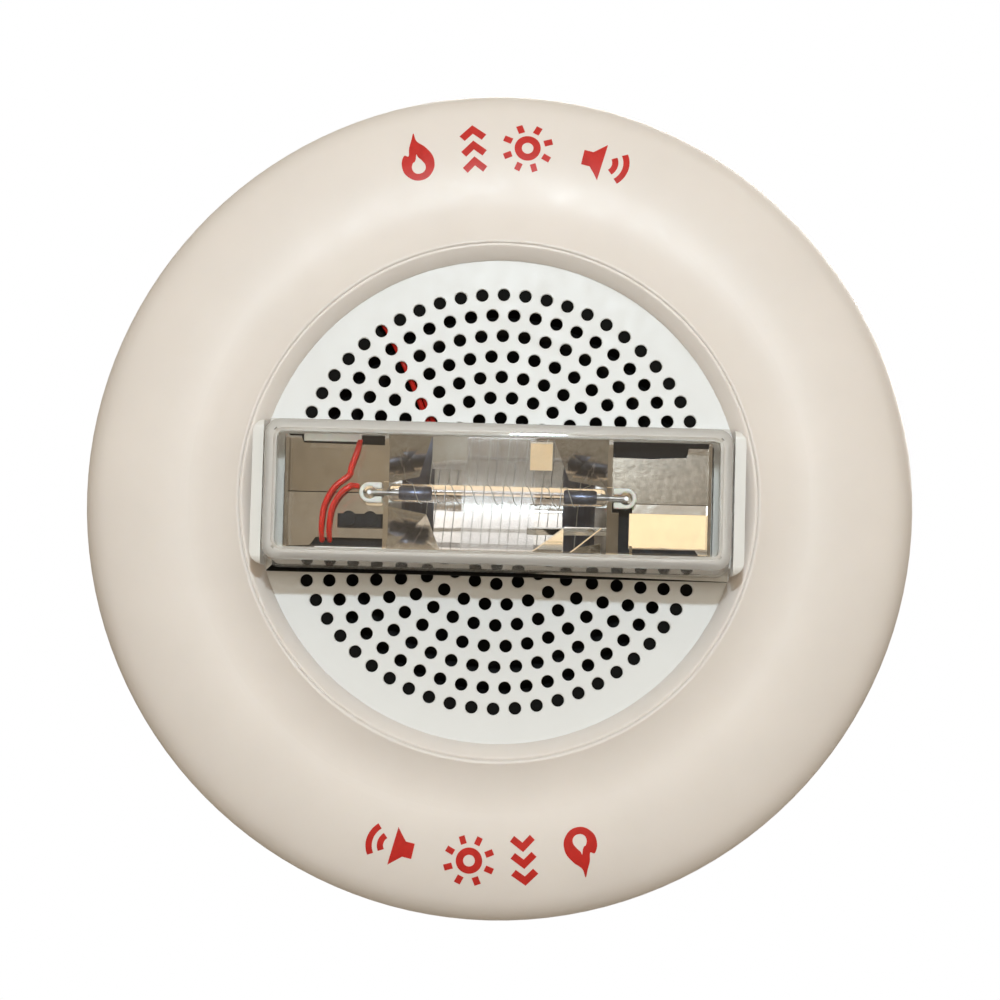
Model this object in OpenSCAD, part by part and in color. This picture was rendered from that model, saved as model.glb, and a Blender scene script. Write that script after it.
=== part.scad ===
// Round wall or ceiling speaker strobe.
// A mounting plate stays on the electrical box. The front unit (bezel, grille, loudspeaker, strobe
// and boards) pushes onto it and pulls off as one. Every part is drawn lying on its back, with z as
// the distance out from the wall, and on_wall() stands it up: the front then faces -Y and +Z is up.

/* [Bezel] */
// Outside radius of the round bezel
bezel_r = 101.6; // [100:0.1:104]
// Height of the bezel's crown above the wall
crown_z = 22; // [21:0.5:23]
// Wall thickness of the bezel
bezel_wall = 2.5; // [2:0.1:3]
// Radius of the opening that shows the grille
opening_r = 58.4; // [58:0.1:59]

/* [Grille] */
// Distance between the rings of holes, and between holes in a ring
hole_pitch = 5; // [4.8:0.1:5]
// Radius of each hole
hole_r = 1.5; // [1.2:0.1:1.7]
// Thickness of the sheet
grille_t = 1; // [0.8:0.1:1.2]

/* [Strobe] */
// Half of the strobe's width over its two end ears
strobe_half_w = 58.2; // [58:0.1:59]
// Half of the strobe lens's width at its rear edge
lens_half_w = 55.5; // [55:0.1:55.6]
// Half of the strobe lens's height at its rear edge
lens_half_h = 17.4; // [17:0.1:17.8]
// Height of the lens's front face above the wall
lens_z = 49; // [48:0.5:52]
// Height of the flash tube's axis above the wall
tube_z = 41; // [40.5:0.1:41.5]
// Half of the distance between the flash tube's two leads
lead_x = 30; // [29.5:0.1:30.5]

/* [Loudspeaker] */
// Radius of the loudspeaker's mounting flange
speaker_r = 51; // [50:0.5:51]
// Radius of the ring magnet
magnet_r = 30; // [28:0.5:31]
// Height of the flange's front face above the wall
flange_z = 15.7; // [15.5:0.1:15.9]

/* [Mounting plate] */
// Outside radius of the mounting plate's rim
plate_r = 86; // [85.5:0.1:86]
// Thickness of the mounting plate
plate_t = 2.5; // [2:0.1:2.5]
// Half of the horizontal spacing of the double-gang box screws
gang_x = 23; // [23:0.1:23.1]
// Half of the vertical spacing of the double-gang box screws
gang_y = 41.65; // [41.6:0.05:41.7]
// Half of the spacing of the octagon box screws
octagon_x = 44.45; // [44.4:0.05:44.5]

/* [Hidden] */
$fn = 96;

// Heights above the wall
grille_z = 22.5;
seat_z = grille_z - grille_t;
chassis_z = 16.5;
board_z = 12.9;
board_t = 1.6;
back_edge_z = 0.5;
magnet_top_z = -14;
magnet_t = 10;
yoke_t = 4;
yoke_back_z = magnet_top_z - magnet_t - yoke_t;
strobe_floor_z = 24;
ledge_z = 26.3;
ledge_t = 2;
ear_z = 37;
wing_z = 36.7;
strobe_board_z = 26;

// Radii of the bezel's section
crown_r = 77;
crown_arc = 40;
shoulder_arc = 11;
shoulder_a = 62;
flare_arc = 23;
flare_r = 75;
lip_arc = 0.6;
lip_r = opening_r + 3.35;
inner_flat_z = crown_z - bezel_wall;
grille_r = opening_r + 3.8;
skirt_r = plate_r + 0.6;
clip_t = 0.3;
shoulder_c = [crown_r + (crown_arc - shoulder_arc) * cos(shoulder_a),
              crown_z - crown_arc + (crown_arc - shoulder_arc) * sin(shoulder_a)];

// Radii inside the loudspeaker
coil_r = 12.6;
gap_r = 13.5;
cone_edge_r = 39;
roll_r = 2.5;
roll_mid_r = 42.6;
basket_foot_r = 31;
basket_foot_z = -6;

// Fixings
chassis_screw_r = 70;
chassis_screw_angles = [30:60:330];
speaker_screw_r = 48.9;
speaker_screw_angles = [45:90:315];
board_screws_at = [[-50, -31.3], [-29.5, -51.1], [29.5, -51.1], [50, -31.3]];
strobe_screws_at = [for (x = [-40, 40], y = [-11, 11]) [x, y]];
strobe_posts_at = [for (x = [-46, 46], y = [-10.5, 10.5]) [x, y]];
bracket_screw_x = 20.5;

// Terminals and pins
ways = 4;
way_pitch = 7;
block_gap = 1;
block_w = ways * way_pitch;
block_top_z = 10.5;
block_y = [-76, -58];
pin_y = -61;
clamp_y = -69.5;
pin_r = 0.6;
socket_r = 1.2;
socket_z = 4;
clamp_z = 6;
clamp_t = 1;
way_x = [for (i = [0:ways - 1]) block_gap + way_pitch * (i + 0.5)];
pins_x = concat([for (x = way_x) -x], way_x);

// Selectors on the rear board
candela_at = [-49.5, -49.5];
power_at = [49.5, -49.5];
voltage_at = [-38.5, -62];

// Where the strobe's leads pass: the grommet under the strobe, and the slot in the chassis
grommet_at = [-14, 9];
lead_slot_a = 124;
lead_r = 0.65;
switch_w = 10;
switch_h = 5.5;
dial_r = 3.2;
dial_gap = 0.05;
slider_travel = 2;

ivory = [0.90, 0.87, 0.82];
white = [0.93, 0.93, 0.92];
black = [0.08, 0.08, 0.08];
steel = [0.72, 0.72, 0.72];
copper = [0.72, 0.40, 0.20];
board_green = [0.10, 0.35, 0.18];
red = [0.75, 0.12, 0.08];
clear = [0.9, 0.95, 1.0, 0.35];

// Stands a part that lies on its back up against the wall
module on_wall() rotate([90, 0, 0]) children();

function arc(c, r, a0, a1, n) =
    [for (i = [0:n]) let(a = a0 + (a1 - a0) * i / n) [c[0] + r * cos(a), c[1] + r * sin(a)]];

function polar(r, a) = [r * cos(a), r * sin(a)];

module at_angles(angles, r) {
    for (a = angles) rotate(a) translate([r, 0, 0]) children();
}

module ring(r_in, r_out, z0, z1) {
    translate([0, 0, z0]) difference() {
        cylinder(r = r_out, h = z1 - z0);
        translate([0, 0, -1]) cylinder(r = r_in, h = z1 - z0 + 2);
    }
}

module block(x, y, z) {
    translate([x[0], y[0], z[0]]) cube([x[1] - x[0], y[1] - y[0], z[1] - z[0]]);
}

module rounded_plate(half_w, half_h, r, z, t) {
    hull() for (sx = [-1, 1], sy = [-1, 1])
        translate([sx * (half_w - r), sy * (half_h - r), z]) cylinder(r = r, h = t, $fn = 32);
}

// Pan-head screw whose head sits on the plane z = 0 and points towards -z; the shank runs up
module screw(head_r, head_h, shank_r, length) {
    difference() {
        translate([0, 0, -head_h]) cylinder(r = head_r, h = head_h);
        for (a = [0, 90]) rotate(a)
            translate([-head_r * 0.6, -0.25, -head_h - 1]) cube([head_r * 1.2, 0.5, 1 + head_h * 0.6]);
    }
    cylinder(r = shank_r, h = length);
}

// Tube of round section swept along a list of points
module sweep(points, r, sides = 8) {
    n = len(points);
    tangents = [for (i = [0:n - 1])
        let(d = points[min(i + 1, n - 1)] - points[max(i - 1, 0)]) d / norm(d)];
    rings = [for (i = [0:n - 1])
        let(t = tangents[i],
            ref = abs(t[2]) > 0.9 ? [1, 0, 0] : [0, 0, 1],
            u0 = cross(ref, t), u = u0 / norm(u0), v = cross(t, u))
        [for (k = [0:sides - 1]) let(a = 360 * k / sides) points[i] + r * (cos(a) * u + sin(a) * v)]];
    verts = [for (ring = rings, p = ring) p];
    walls = [for (i = [0:n - 2], k = [0:sides - 1]) let(j = (k + 1) % sides)
        [i * sides + k, (i + 1) * sides + k, (i + 1) * sides + j, i * sides + j]];
    polyhedron(verts, concat([[for (k = [0:sides - 1]) k]], walls,
        [[for (k = [sides - 1:-1:0]) (n - 1) * sides + k]]), convexity = 6);
}

// Points of a smooth curve through a list of points
function smooth(points, per = 4) = let(n = len(points)) concat(
    [for (i = [0:n - 2], k = [0:per - 1])
        let(p0 = points[max(i - 1, 0)], p1 = points[i], p2 = points[i + 1],
            p3 = points[min(i + 2, n - 1)], t = k / per)
        0.5 * (2 * p1 + (p2 - p0) * t + (2 * p0 - 5 * p1 + 4 * p2 - p3) * t * t
            + (3 * p1 - p0 - 3 * p2 + p3) * t * t * t)],
    [points[n - 1]]);

// ---------- wall side: plate and terminals ----------

module mounting_plate() on_wall() color(steel) difference() {
    union() {
        cylinder(r = plate_r, h = plate_t);
        ring(plate_r - 2, plate_r, plate_t - 0.5, 9);
        ring(40, 41.5, plate_t - 0.5, plate_t + 2);
    }
    translate([0, 0, -1]) cylinder(r = 40, h = 20);
    for (sx = [-1, 1], sy = [-1, 1]) translate([sx * gang_x, sy * gang_y, -1]) {
        for (dx = [-1.8, 1.8]) translate([dx, 0, 0]) cylinder(r = 2.2, h = 20);
        translate([-1.8, -2.2, 0]) cube([3.6, 4.4, 20]);
    }
    for (sx = [-1, 1]) translate([sx * octagon_x, 0, 0]) {
        translate([0, 0, -1]) cylinder(r = 2.2, h = 20);
        // Room for the screw's head in the collar
        translate([0, 0, plate_t]) cylinder(r = 4.5, h = 20);
    }
    // Notch for the building's wires and the transformer's leads
    block([-12, 12], [-56, -38], [-1, 20]);
    for (p = [candela_at, power_at]) translate([p[0], p[1], -1]) cylinder(r = 6, h = 20);
    translate([voltage_at[0] - 4.5, voltage_at[1] - 3.5, -1]) cube([9, 7, 20]);
    for (x = pins_x) translate([x, -72, -1]) cylinder(r = 1.25, h = 20);
}

// Spring strips on the plate's rim that grip the bezel's skirt
module retaining_clips() on_wall() color(steel) for (a = [45:90:315])
    rotate(a - 4) translate([0, 0, plate_t])
        rotate_extrude(angle = 8) translate([plate_r, 0]) square([clip_t, 6]);

module terminal_block() {
    difference() {
        block([block_gap, block_gap + block_w], block_y, [plate_t, block_top_z]);
        for (x = way_x) {
            translate([x, pin_y, socket_z]) cylinder(r = socket_r, h = 20);
            translate([x - 2.7, block_y[0] - 1, clamp_z]) cube([5.4, 11.5, 20]);
            translate([x, clamp_y, 3.4]) cylinder(r = 1.3, h = 20);
        }
    }
    for (x = way_x) translate([x, -72, 0.3]) cylinder(r = 1.15, h = plate_t);
}

module terminal_block_left() on_wall() color(black) mirror([1, 0, 0]) terminal_block();

module terminal_block_right() on_wall() color(black) terminal_block();

module terminal_clamps() on_wall() color(steel) for (x = pins_x) difference() {
    translate([x - 2.5, clamp_y - 4, clamp_z]) cube([5, 7, clamp_t]);
    translate([x, clamp_y, 0]) cylinder(r = 1.35, h = 20);
}

module terminal_screws() on_wall() color(steel) for (x = pins_x)
    translate([x, clamp_y, clamp_z + clamp_t]) mirror([0, 0, 1]) screw(2.4, 1.8, 1.2, 3.4);

module terminal_sockets() on_wall() color(steel) for (x = pins_x)
    translate([x, pin_y, 0]) ring(pin_r + 0.15, socket_r, socket_z, 10);

// ---------- bezel, grille, chassis ----------

function bezel_section() = concat(
    [[bezel_r, back_edge_z]],
    arc(shoulder_c, shoulder_arc, 0, shoulder_a, 12),
    arc([crown_r, crown_z - crown_arc], crown_arc, shoulder_a, 90, 10),
    arc([flare_r, crown_z + flare_arc], flare_arc, 270, 236, 10),
    arc([lip_r, crown_z + 3.45], lip_arc, 40, 140, 5),
    [[opening_r, grille_z + 0.5], [opening_r, grille_z], [grille_r + 0.3, grille_z],
     [grille_r + 0.3, inner_flat_z]],
    arc([crown_r, crown_z - crown_arc], crown_arc - bezel_wall, 90, shoulder_a, 10),
    arc(shoulder_c, shoulder_arc - bezel_wall, shoulder_a, 0, 12),
    [[shoulder_c[0] + shoulder_arc - bezel_wall, back_edge_z]]);

module bezel() on_wall() color(ivory) difference() {
    union() {
        rotate_extrude() polygon(bezel_section());
        ring(skirt_r, skirt_r + 2, 1.5, 18.6);
        at_angles(chassis_screw_angles, chassis_screw_r) translate([0, 0, 18]) cylinder(r = 3.2, h = 2);
    }
    at_angles(chassis_screw_angles, chassis_screw_r) translate([0, 0, 17]) cylinder(r = 1.15, h = 4.2);
    // Notch for the tool that pries the front unit off
    block([-6, 6], [-bezel_r - 1, -bezel_r + 5], [back_edge_z - 1, 2.2]);
}

grille_holes = [for (k = [4:10], i = [0:6 * k - 1])
    let(p = polar(hole_pitch * k, 60 * i / k)) if (abs(p[1]) > 14.4) p];

module grille() on_wall() color(white) translate([0, 0, seat_z]) difference() {
    cylinder(r = grille_r, h = grille_t);
    for (p = grille_holes) translate([p[0], p[1], -1]) cylinder(r = hole_r, h = 4, $fn = 32);
    for (p = strobe_screws_at) translate([p[0], p[1], -1]) cylinder(r = 1.6, h = 4);
    translate([grommet_at[0], grommet_at[1], -1]) cylinder(r = 3, h = 4);
}

module chassis() on_wall() color(black) difference() {
    union() {
        ring(46.3, grille_r, chassis_z, seat_z);
        ring(46.3, 74, chassis_z, 18);
        for (p = board_screws_at) translate([p[0], p[1], board_z + board_t])
            cylinder(r = 2.6, h = chassis_z - board_z - board_t + 0.5);
    }
    at_angles(chassis_screw_angles, chassis_screw_r) translate([0, 0, 10]) cylinder(r = 1.4, h = 20);
    for (p = board_screws_at) translate([p[0], p[1], 10]) cylinder(r = 1.05, h = 9.5);
    at_angles(speaker_screw_angles, speaker_screw_r) translate([0, 0, 10]) cylinder(r = 1.05, h = 9.5);
    rotate(lead_slot_a) block([40, 80], [-2, 2], [17.6, 30]);
    rotate(lead_slot_a) block([63.5, 80], [-5, 5], [10, 30]);
}

module chassis_screws() on_wall() color(steel) at_angles(chassis_screw_angles, chassis_screw_r)
    translate([0, 0, chassis_z]) screw(2.4, 1.4, 1.1, 4.4);

module wire_grommet() on_wall() color(black) translate([grommet_at[0], grommet_at[1], 0]) difference() {
    union() {
        translate([0, 0, seat_z - 0.8]) cylinder(r = 3.8, h = 0.8);
        translate([0, 0, seat_z]) cylinder(r = 2.95, h = strobe_floor_z - seat_z);
        translate([0, 0, strobe_floor_z]) cylinder(r = 3.8, h = 0.7);
    }
    translate([0, 0, 15]) cylinder(r = 1.75, h = 20);
}

// ---------- loudspeaker ----------

module speaker_frame() on_wall() color([0.2, 0.2, 0.2]) difference() {
    union() {
        ring(44.6, speaker_r, flange_z - 1, flange_z);
        rotate_extrude() polygon([
            [44.6, flange_z - 1], [45.7, flange_z - 1], [basket_foot_r + 1.1, basket_foot_z - 1],
            [22, basket_foot_z - 1], [22, -9], [27, -9], [27, -10], [20.8, -10],
            [20.8, basket_foot_z], [basket_foot_r, basket_foot_z]]);
    }
    at_angles(speaker_screw_angles, speaker_screw_r) translate([0, 0, 10]) cylinder(r = 1.4, h = 20);
    // Windows in the basket
    for (a = [30:60:330]) rotate(a) intersection() {
        block([28, 60], [-12, 12], [-3.5, 10.5]);
        rotate_extrude(angle = 360) polygon([[30, -3.5], [60, -3.5], [60, 10.5], [38, 10.5]]);
    }
}

module speaker_gasket() on_wall() color([0.15, 0.15, 0.15]) difference() {
    ring(47.6, speaker_r, flange_z, chassis_z);
    at_angles(speaker_screw_angles, speaker_screw_r) translate([0, 0, 10]) cylinder(r = 1.5, h = 20);
}

module speaker_screws() on_wall() color(steel) at_angles(speaker_screw_angles, speaker_screw_r)
    translate([0, 0, flange_z - 1]) screw(2.1, 1.3, 1, 4.6);

terminal_a = 90;

module speaker_terminals() on_wall() rotate(terminal_a) {
    color([0.55, 0.38, 0.2]) {
        block([38.6, 40.4], [-8, 8], [10.3, 11.5]);
        block([40, 41.55], [-3, 3], [10.3, 11.5]);
    }
    color(steel) for (y = [-5, 5]) block([38.9, 40.2], [y - 1.2, y + 1.2], [7.4, 10.3]);
}

// Flexible braids from the cone to the terminals
module tinsel_leads() on_wall() color(copper) rotate(terminal_a) for (s = [-1, 1])
    sweep(smooth([[26, 5 * s, 6], [29, 5 * s, 3.5], [33.5, 5 * s, 3], [36.6, 5 * s, 5],
                  [38, 5 * s, 7.6], [38.5, 5 * s, 9.8]], 3), 0.35, 6);

module surround() on_wall() color(black) rotate_extrude() polygon(concat(
    arc([roll_mid_r, flange_z], roll_r + 0.4, 0, 180, 12),
    [[cone_edge_r - 2, flange_z - 0.3], [cone_edge_r - 2, flange_z - 0.7],
     [roll_mid_r - roll_r, flange_z - 0.6]],
    arc([roll_mid_r, flange_z], roll_r, 180, 0, 12),
    [[roll_mid_r + roll_r, flange_z], [47.4, flange_z], [47.4, flange_z + 0.4]]));

module spider() on_wall() color([0.75, 0.6, 0.3]) rotate_extrude() polygon(concat(
    [for (i = [0:30]) let(r = coil_r + 0.1 + i * 0.48) [r, -4.9 + 0.8 * cos(i * 72)]],
    [[basket_foot_r - 0.4, basket_foot_z + 0.45], [basket_foot_r - 0.4, basket_foot_z + 0.05],
     [27.6, basket_foot_z + 0.05]],
    [for (i = [30:-1:0]) let(r = coil_r + 0.1 + i * 0.48) [r, -5.3 + 0.8 * cos(i * 72)]]));

module top_plate() on_wall() color(steel) difference() {
    ring(gap_r, 28, magnet_top_z, -10);
    at_angles([45:90:315], 24) translate([0, 0, -20]) cylinder(r = 1, h = 20);
}

module magnet() on_wall() color([0.25, 0.25, 0.27])
    ring(16.5, magnet_r, magnet_top_z - magnet_t, magnet_top_z);

module pole_yoke() on_wall() color(steel) difference() {
    union() {
        translate([0, 0, yoke_back_z]) cylinder(r = 28, h = yoke_t);
        translate([0, 0, yoke_back_z]) cylinder(r = 12.1, h = -10 - yoke_back_z);
    }
    translate([0, 0, yoke_back_z - 1]) cylinder(r = 4, h = 40);
    for (s = [-1, 1]) translate([s * bracket_screw_x, 0, yoke_back_z - 1]) cylinder(r = 1.5, h = 4.5);
}

module cone() on_wall() color(black) rotate_extrude() polygon([
    [coil_r + 0.05, 0.6], [coil_r + 0.05, 0], [14.2, 0], [18, 2.4], [24, 6], [31, 9.9],
    [36.9, 13.3], [39, flange_z - 1.3], [39, flange_z - 0.8], [36.6, flange_z - 0.8], [36.4, 14],
    [31, 10.6], [24, 6.7], [18, 3.1], [14, 0.6]]);

module dust_cap() on_wall() color(black) rotate_extrude() polygon(concat(
    arc([0, -8.4], 19, 38.5, 90, 10), arc([0, -8.4], 18.5, 90, 38.8, 10)));

module coil_former() on_wall() color([0.8, 0.65, 0.4]) ring(coil_r - 0.25, coil_r, -16, 1.2);

module voice_coil() on_wall() color(copper) ring(coil_r, coil_r + 0.5, -16, -8);

// ---------- transformer ----------

module transformer_bracket() on_wall() color(steel) difference() {
    union() {
        block([-24, 24], [-15.5, 15.5], [yoke_back_z - 1, yoke_back_z]);
        for (s = [-1, 1]) scale([1, s, 1]) {
            block([-10, 10], [14.5, 15.5], [-44.2, yoke_back_z - 0.5]);
            block([-10, 10], [10.5, 15.5], [-44.2, -43.2]);
        }
    }
    for (s = [-1, 1]) translate([s * bracket_screw_x, 0, -40]) cylinder(r = 1.6, h = 20);
    translate([0, 0, -40]) cylinder(r = 4, h = 20);
}

core_z = [-43.1, -33.1];
winding_z = [-47.2, -29.1];

module transformer_core() on_wall() color([0.35, 0.35, 0.38]) difference() {
    block([-16, 16], [-13.5, 13.5], core_z);
    for (s = [-1, 1]) scale([s, 1, 1]) block([5.3, 10.7], [-8.1, 8.1], [-60, 0]);
}

module transformer_bobbin() on_wall() color([0.85, 0.85, 0.8]) difference() {
    union() {
        block([-7, 7], [-8, 8], [winding_z[0] + 4, winding_z[1] - 3.6]);
        for (y = [-8, 7]) block([-10.6, 10.6], [y, y + 1], winding_z);
    }
    block([-5.35, 5.35], [-20, 20], [core_z[0] - 0.05, core_z[1] + 0.05]);
}

module transformer_winding() on_wall() color([0.85, 0.7, 0.2]) difference() {
    block([-10.2, 10.2], [-6.95, 6.95], [winding_z[0] + 0.6, winding_z[1] - 0.6]);
    block([-7.05, 7.05], [-20, 20], [winding_z[0] + 3.95, winding_z[1] - 3.55]);
}

module bracket_screws() on_wall() color(steel) for (s = [-1, 1])
    translate([s * bracket_screw_x, 0, yoke_back_z - 1]) screw(2.8, 2, 1.4, 4);

// Leads from the rear board, down past the basket and round the bracket to the transformer
module audio_lead(x0, x1, ends) sweep(smooth(concat(
    [[x0, -57.5, board_z - 0.1], [x0, -57.3, 10.4], [x0, -54, 8], [x0, -48, 6.4],
     [(x0 + x1) / 2, -41.5, 6.2], [x1, -38.2, 3.2], [x1, -37.2, -2], [x1, -36, -10], [x1, -34.3, -20]],
    ends), 2), lead_r, 8);

module audio_leads_black() on_wall() color(black) for (s = [-1, 1])
    audio_lead(4 * s, 2.4 * s, [[7 * s, -29.6, -27.6], [11.3 * s, -22, -31], [11.3 * s, -14, -31],
        [11.3 * s, -7.6, -31]]);

module audio_leads_yellow() on_wall() color([0.85, 0.7, 0.1]) for (s = [-1, 1])
    audio_lead(8 * s, 5 * s, [[9 * s, -30, -27.6], [12.9 * s, -23, -31], [12.9 * s, -14, -31],
        [12.9 * s, -4, -31], [12.7 * s, 3, -31], [11.3 * s, 7.5, -31]]);

// ---------- rear board ----------

module rear_board() on_wall() color(board_green) difference() {
    rotate([0, 0, 205]) translate([0, 0, board_z])
        rotate_extrude(angle = 130) translate([56, 0]) square([26, board_t]);
    for (p = board_screws_at) translate([p[0], p[1], 0]) cylinder(r = 1.3, h = 20);
    for (x = pins_x) translate([x, pin_y, 0]) cylinder(r = pin_r + 0.05, h = 20);
}

module board_screws() on_wall() color(steel) for (p = board_screws_at)
    translate([p[0], p[1], board_z]) screw(2.1, 1.3, 1, 6);

module pin_header() on_wall() color(black) difference() {
    block([-28, 28], [pin_y - 1.6, pin_y + 1.6], [board_z - 1.8, board_z]);
    for (x = pins_x) translate([x, pin_y, 0]) cylinder(r = pin_r + 0.05, h = 20);
}

module header_pins() on_wall() color([0.85, 0.7, 0.3]) for (x = pins_x)
    translate([x, pin_y, 5.5]) cylinder(r = pin_r, h = board_z + board_t - 5);

module dial_switch(at) translate([at[0], at[1], 0]) difference() {
    block([-switch_w / 2, switch_w / 2], [-switch_w / 2, switch_w / 2], [board_z - switch_h, board_z]);
    translate([0, 0, board_z - switch_h - 1]) cylinder(r = dial_r + dial_gap, h = 4);
}

module dial(at) translate([at[0], at[1], board_z - switch_h - 0.8]) difference() {
    cylinder(r = dial_r, h = 3.7);
    translate([-dial_r * 0.75, -0.5, -1]) cube([dial_r * 1.5, 1, 2.1]);
    // Pointer notch at one end of the slot
    translate([-1, dial_r * 0.45, -1]) cube([2, dial_r, 1.5]);
}

module candela_switch() on_wall() color([0.1, 0.2, 0.5]) dial_switch(candela_at);

module candela_dial() on_wall() color(white) dial(candela_at);

module power_switch() on_wall() color([0.1, 0.2, 0.5]) dial_switch(power_at);

module power_dial() on_wall() color(white) dial(power_at);

module voltage_switch() on_wall() color(black) translate([voltage_at[0], voltage_at[1], 0])
    difference() {
        block([-4.8, 4.8], [-2.4, 2.4], [board_z - 4.5, board_z]);
        block([-2.3, 2.3], [-1.1, 1.1], [0, board_z - 2]);
    }

module voltage_slider() on_wall() color(white) translate([voltage_at[0], voltage_at[1], 0])
    block([-2.2, 0.1], [-1, 1], [board_z - 6.5, board_z - 2.2]);

module blocking_capacitor() on_wall() color([0.7, 0.1, 0.1])
    block([33, 43.5], [-65, -60], [board_z - 8, board_z]);

module rear_components() on_wall() color(black) {
    translate([-63, -34, board_z - 9]) cylinder(r = 4, h = 9);
    translate([63, -34, board_z - 7]) cylinder(r = 5, h = 7);
    for (x = [-12, 12]) block([x - 3, x + 3], [-70, -66], [board_z + board_t, board_z + board_t + 1.4]);
    block([-36, -31], [-72, -68], [board_z - 1.8, board_z]);
    block([48, 53], [-60, -57], [board_z - 2, board_z]);
}

// ---------- strobe ----------

module strobe_base() on_wall() color(white) difference() {
    union() {
        block([-53.2, 53.2], [-16.3, 16.3], [grille_z, ledge_z + 0.1]);
        block([-56, 56], [-15.1, 15.1], [ledge_z, ledge_z + ledge_t]);
        for (s = [-1, 1]) scale([s, 1, 1]) ear();
    }
    difference() {
        block([-51.2, 51.2], [-13.6, 13.6], [strobe_floor_z, 60]);
        for (p = strobe_posts_at) translate([p[0], p[1], 0]) {
            cylinder(r = 3.2, h = strobe_board_z);
            cylinder(r = 1.9, h = wing_z - 1.2);
        }
        for (p = strobe_screws_at) translate([p[0], p[1], 0]) cylinder(r = 2.6, h = strobe_board_z);
    }
    for (p = strobe_screws_at) translate([p[0], p[1], 20]) cylinder(r = 1.05, h = 5.4);
    translate([grommet_at[0], grommet_at[1], 20]) cylinder(r = 3, h = 20);
}

// Solid end block beside the lens, with rounded outer edges
module ear() intersection() {
    block([lens_half_w + 0.15, strobe_half_w], [-17.1, 17.1], [ledge_z, ear_z]);
    rounded_plate(strobe_half_w, 17.1, 3, ledge_z, ear_z - ledge_z);
    rotate([90, 0, 90]) rounded_plate_side();
}

module rounded_plate_side() linear_extrude(height = 70) polygon(concat(
    [[-17.1, ledge_z]], arc([-15.1, ear_z - 2], 2, 180, 90, 8),
    arc([15.1, ear_z - 2], 2, 90, 0, 8), [[17.1, ledge_z]]));

module strobe_gasket() on_wall() color(black) difference() {
    block([-55.2, 55.2], [-18.3, 18.3], [grille_z, ledge_z]);
    block([-53.3, 53.3], [-16.4, 16.4], [0, 60]);
}

module strobe_screws() on_wall() color(steel) for (p = strobe_screws_at)
    translate([p[0], p[1], seat_z]) screw(2.2, 1.2, 1, 3.6);

lens_draft = 0.054;

module lens_solid(inset, front) hull() {
    rounded_plate(lens_half_w - inset, lens_half_h - inset, 3.5 - inset / 2, ledge_z + 0.2, 0.01);
    rounded_plate(lens_half_w - inset - (front - 28) * lens_draft,
        lens_half_h - inset - (front - 28) * lens_draft, 3.5 - inset / 2, front - 1.6, 0.01);
    rounded_plate(lens_half_w - inset - (front - 28) * lens_draft - 1.3,
        lens_half_h - inset - (front - 28) * lens_draft - 1.3, 2.6 - inset / 2, front - 0.01, 0.01);
}

module strobe_lens() on_wall() color(clear) difference() {
    lens_solid(0, lens_z);
    translate([0, 0, -0.1]) lens_solid(2, lens_z - 1.9);
    for (s = [-1, 1]) scale([s, 1, 1])
        block([50.5, 60], [-15.3, 15.3], [20, ledge_z + ledge_t + 0.1]);
}

trough_x = 26;
trough_z = 33;
focal = tube_z - trough_z;
mirror_half_h = 13.9;
mirror_half_w = 49.5;

function trough_curve(drop) = [for (i = [-10:10]) let(y = i * mirror_half_h / 10)
    [y, trough_z + y * y / (4 * focal) - drop]];

function reversed(list) = [for (i = [len(list) - 1:-1:0]) list[i]];

module reflector() on_wall() color([0.9, 0.9, 0.92]) difference() {
    union() {
        translate([-trough_x, 0, 0]) rotate([90, 0, 90]) linear_extrude(height = 2 * trough_x)
            polygon(concat(trough_curve(0), reversed(trough_curve(1.2))));
        for (s = [-1, 1]) scale([s, 1, 1]) {
            translate([trough_x - 0.2, 0, 0]) rotate([90, 0, 90]) linear_extrude(height = 1.2)
                polygon(concat(trough_curve(1.2),
                    [[mirror_half_h, trough_z + 5.6], [-mirror_half_h, trough_z + 5.6]]));
            block([trough_x + 0.5, mirror_half_w], [-mirror_half_h, mirror_half_h], [wing_z - 1.2, wing_z]);
            translate([lead_x, 0, wing_z - 1]) cylinder(r = 2.4, h = 5.4);
            block([lead_x - 3, lead_x], [-2.4, 2.4], [wing_z - 1, wing_z + 4.4]);
        }
    }
    for (s = [-1, 1]) scale([s, 1, 1]) {
        translate([lead_x, 0, 20]) cylinder(r = 1.5, h = 40);
        block([lead_x - 5, lead_x], [-1.1, 1.1], [tube_z - 1.2, 60]);
    }
    block([-35.5, -31], [11, 20], [30, 40]);
    block([-42.6, -37.8], [-20, -9.2], [30, 40]);
}

module flash_tube() on_wall() color(clear) translate([0, 0, tube_z]) rotate([0, 90, 0]) difference() {
    translate([0, 0, -trough_x]) cylinder(r = 2.1, h = 2 * trough_x);
    translate([0, 0, 1 - trough_x]) cylinder(r = 1.5, h = 2 * trough_x - 2);
    for (s = [-1, 1]) scale([1, 1, s]) translate([0, 0, trough_x - 2]) cylinder(r = 0.55, h = 3);
}

module tube_electrodes() on_wall() color(steel) for (s = [-1, 1]) scale([s, 1, 1]) {
    translate([20, 0, tube_z]) rotate([0, 90, 0]) cylinder(r = 0.5, h = lead_x - 20);
    translate([20, 0, tube_z]) rotate([0, 90, 0]) cylinder(r = 1.1, h = 3.5);
    translate([lead_x, 0, strobe_board_z + board_t])
        cylinder(r = 0.5, h = tube_z + 0.5 - strobe_board_z - board_t);
}

module trigger_wire() on_wall() color(steel) {
    for (x = [-18:4:18]) translate([x, 0, tube_z]) rotate([0, 90, 0])
        rotate_extrude() translate([2.3, 0]) circle(r = 0.15, $fn = 16);
    translate([-18.2, 0, tube_z - 2.62]) rotate([0, 90, 0]) cylinder(r = 0.15, h = 36.4, $fn = 16);
}

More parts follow.
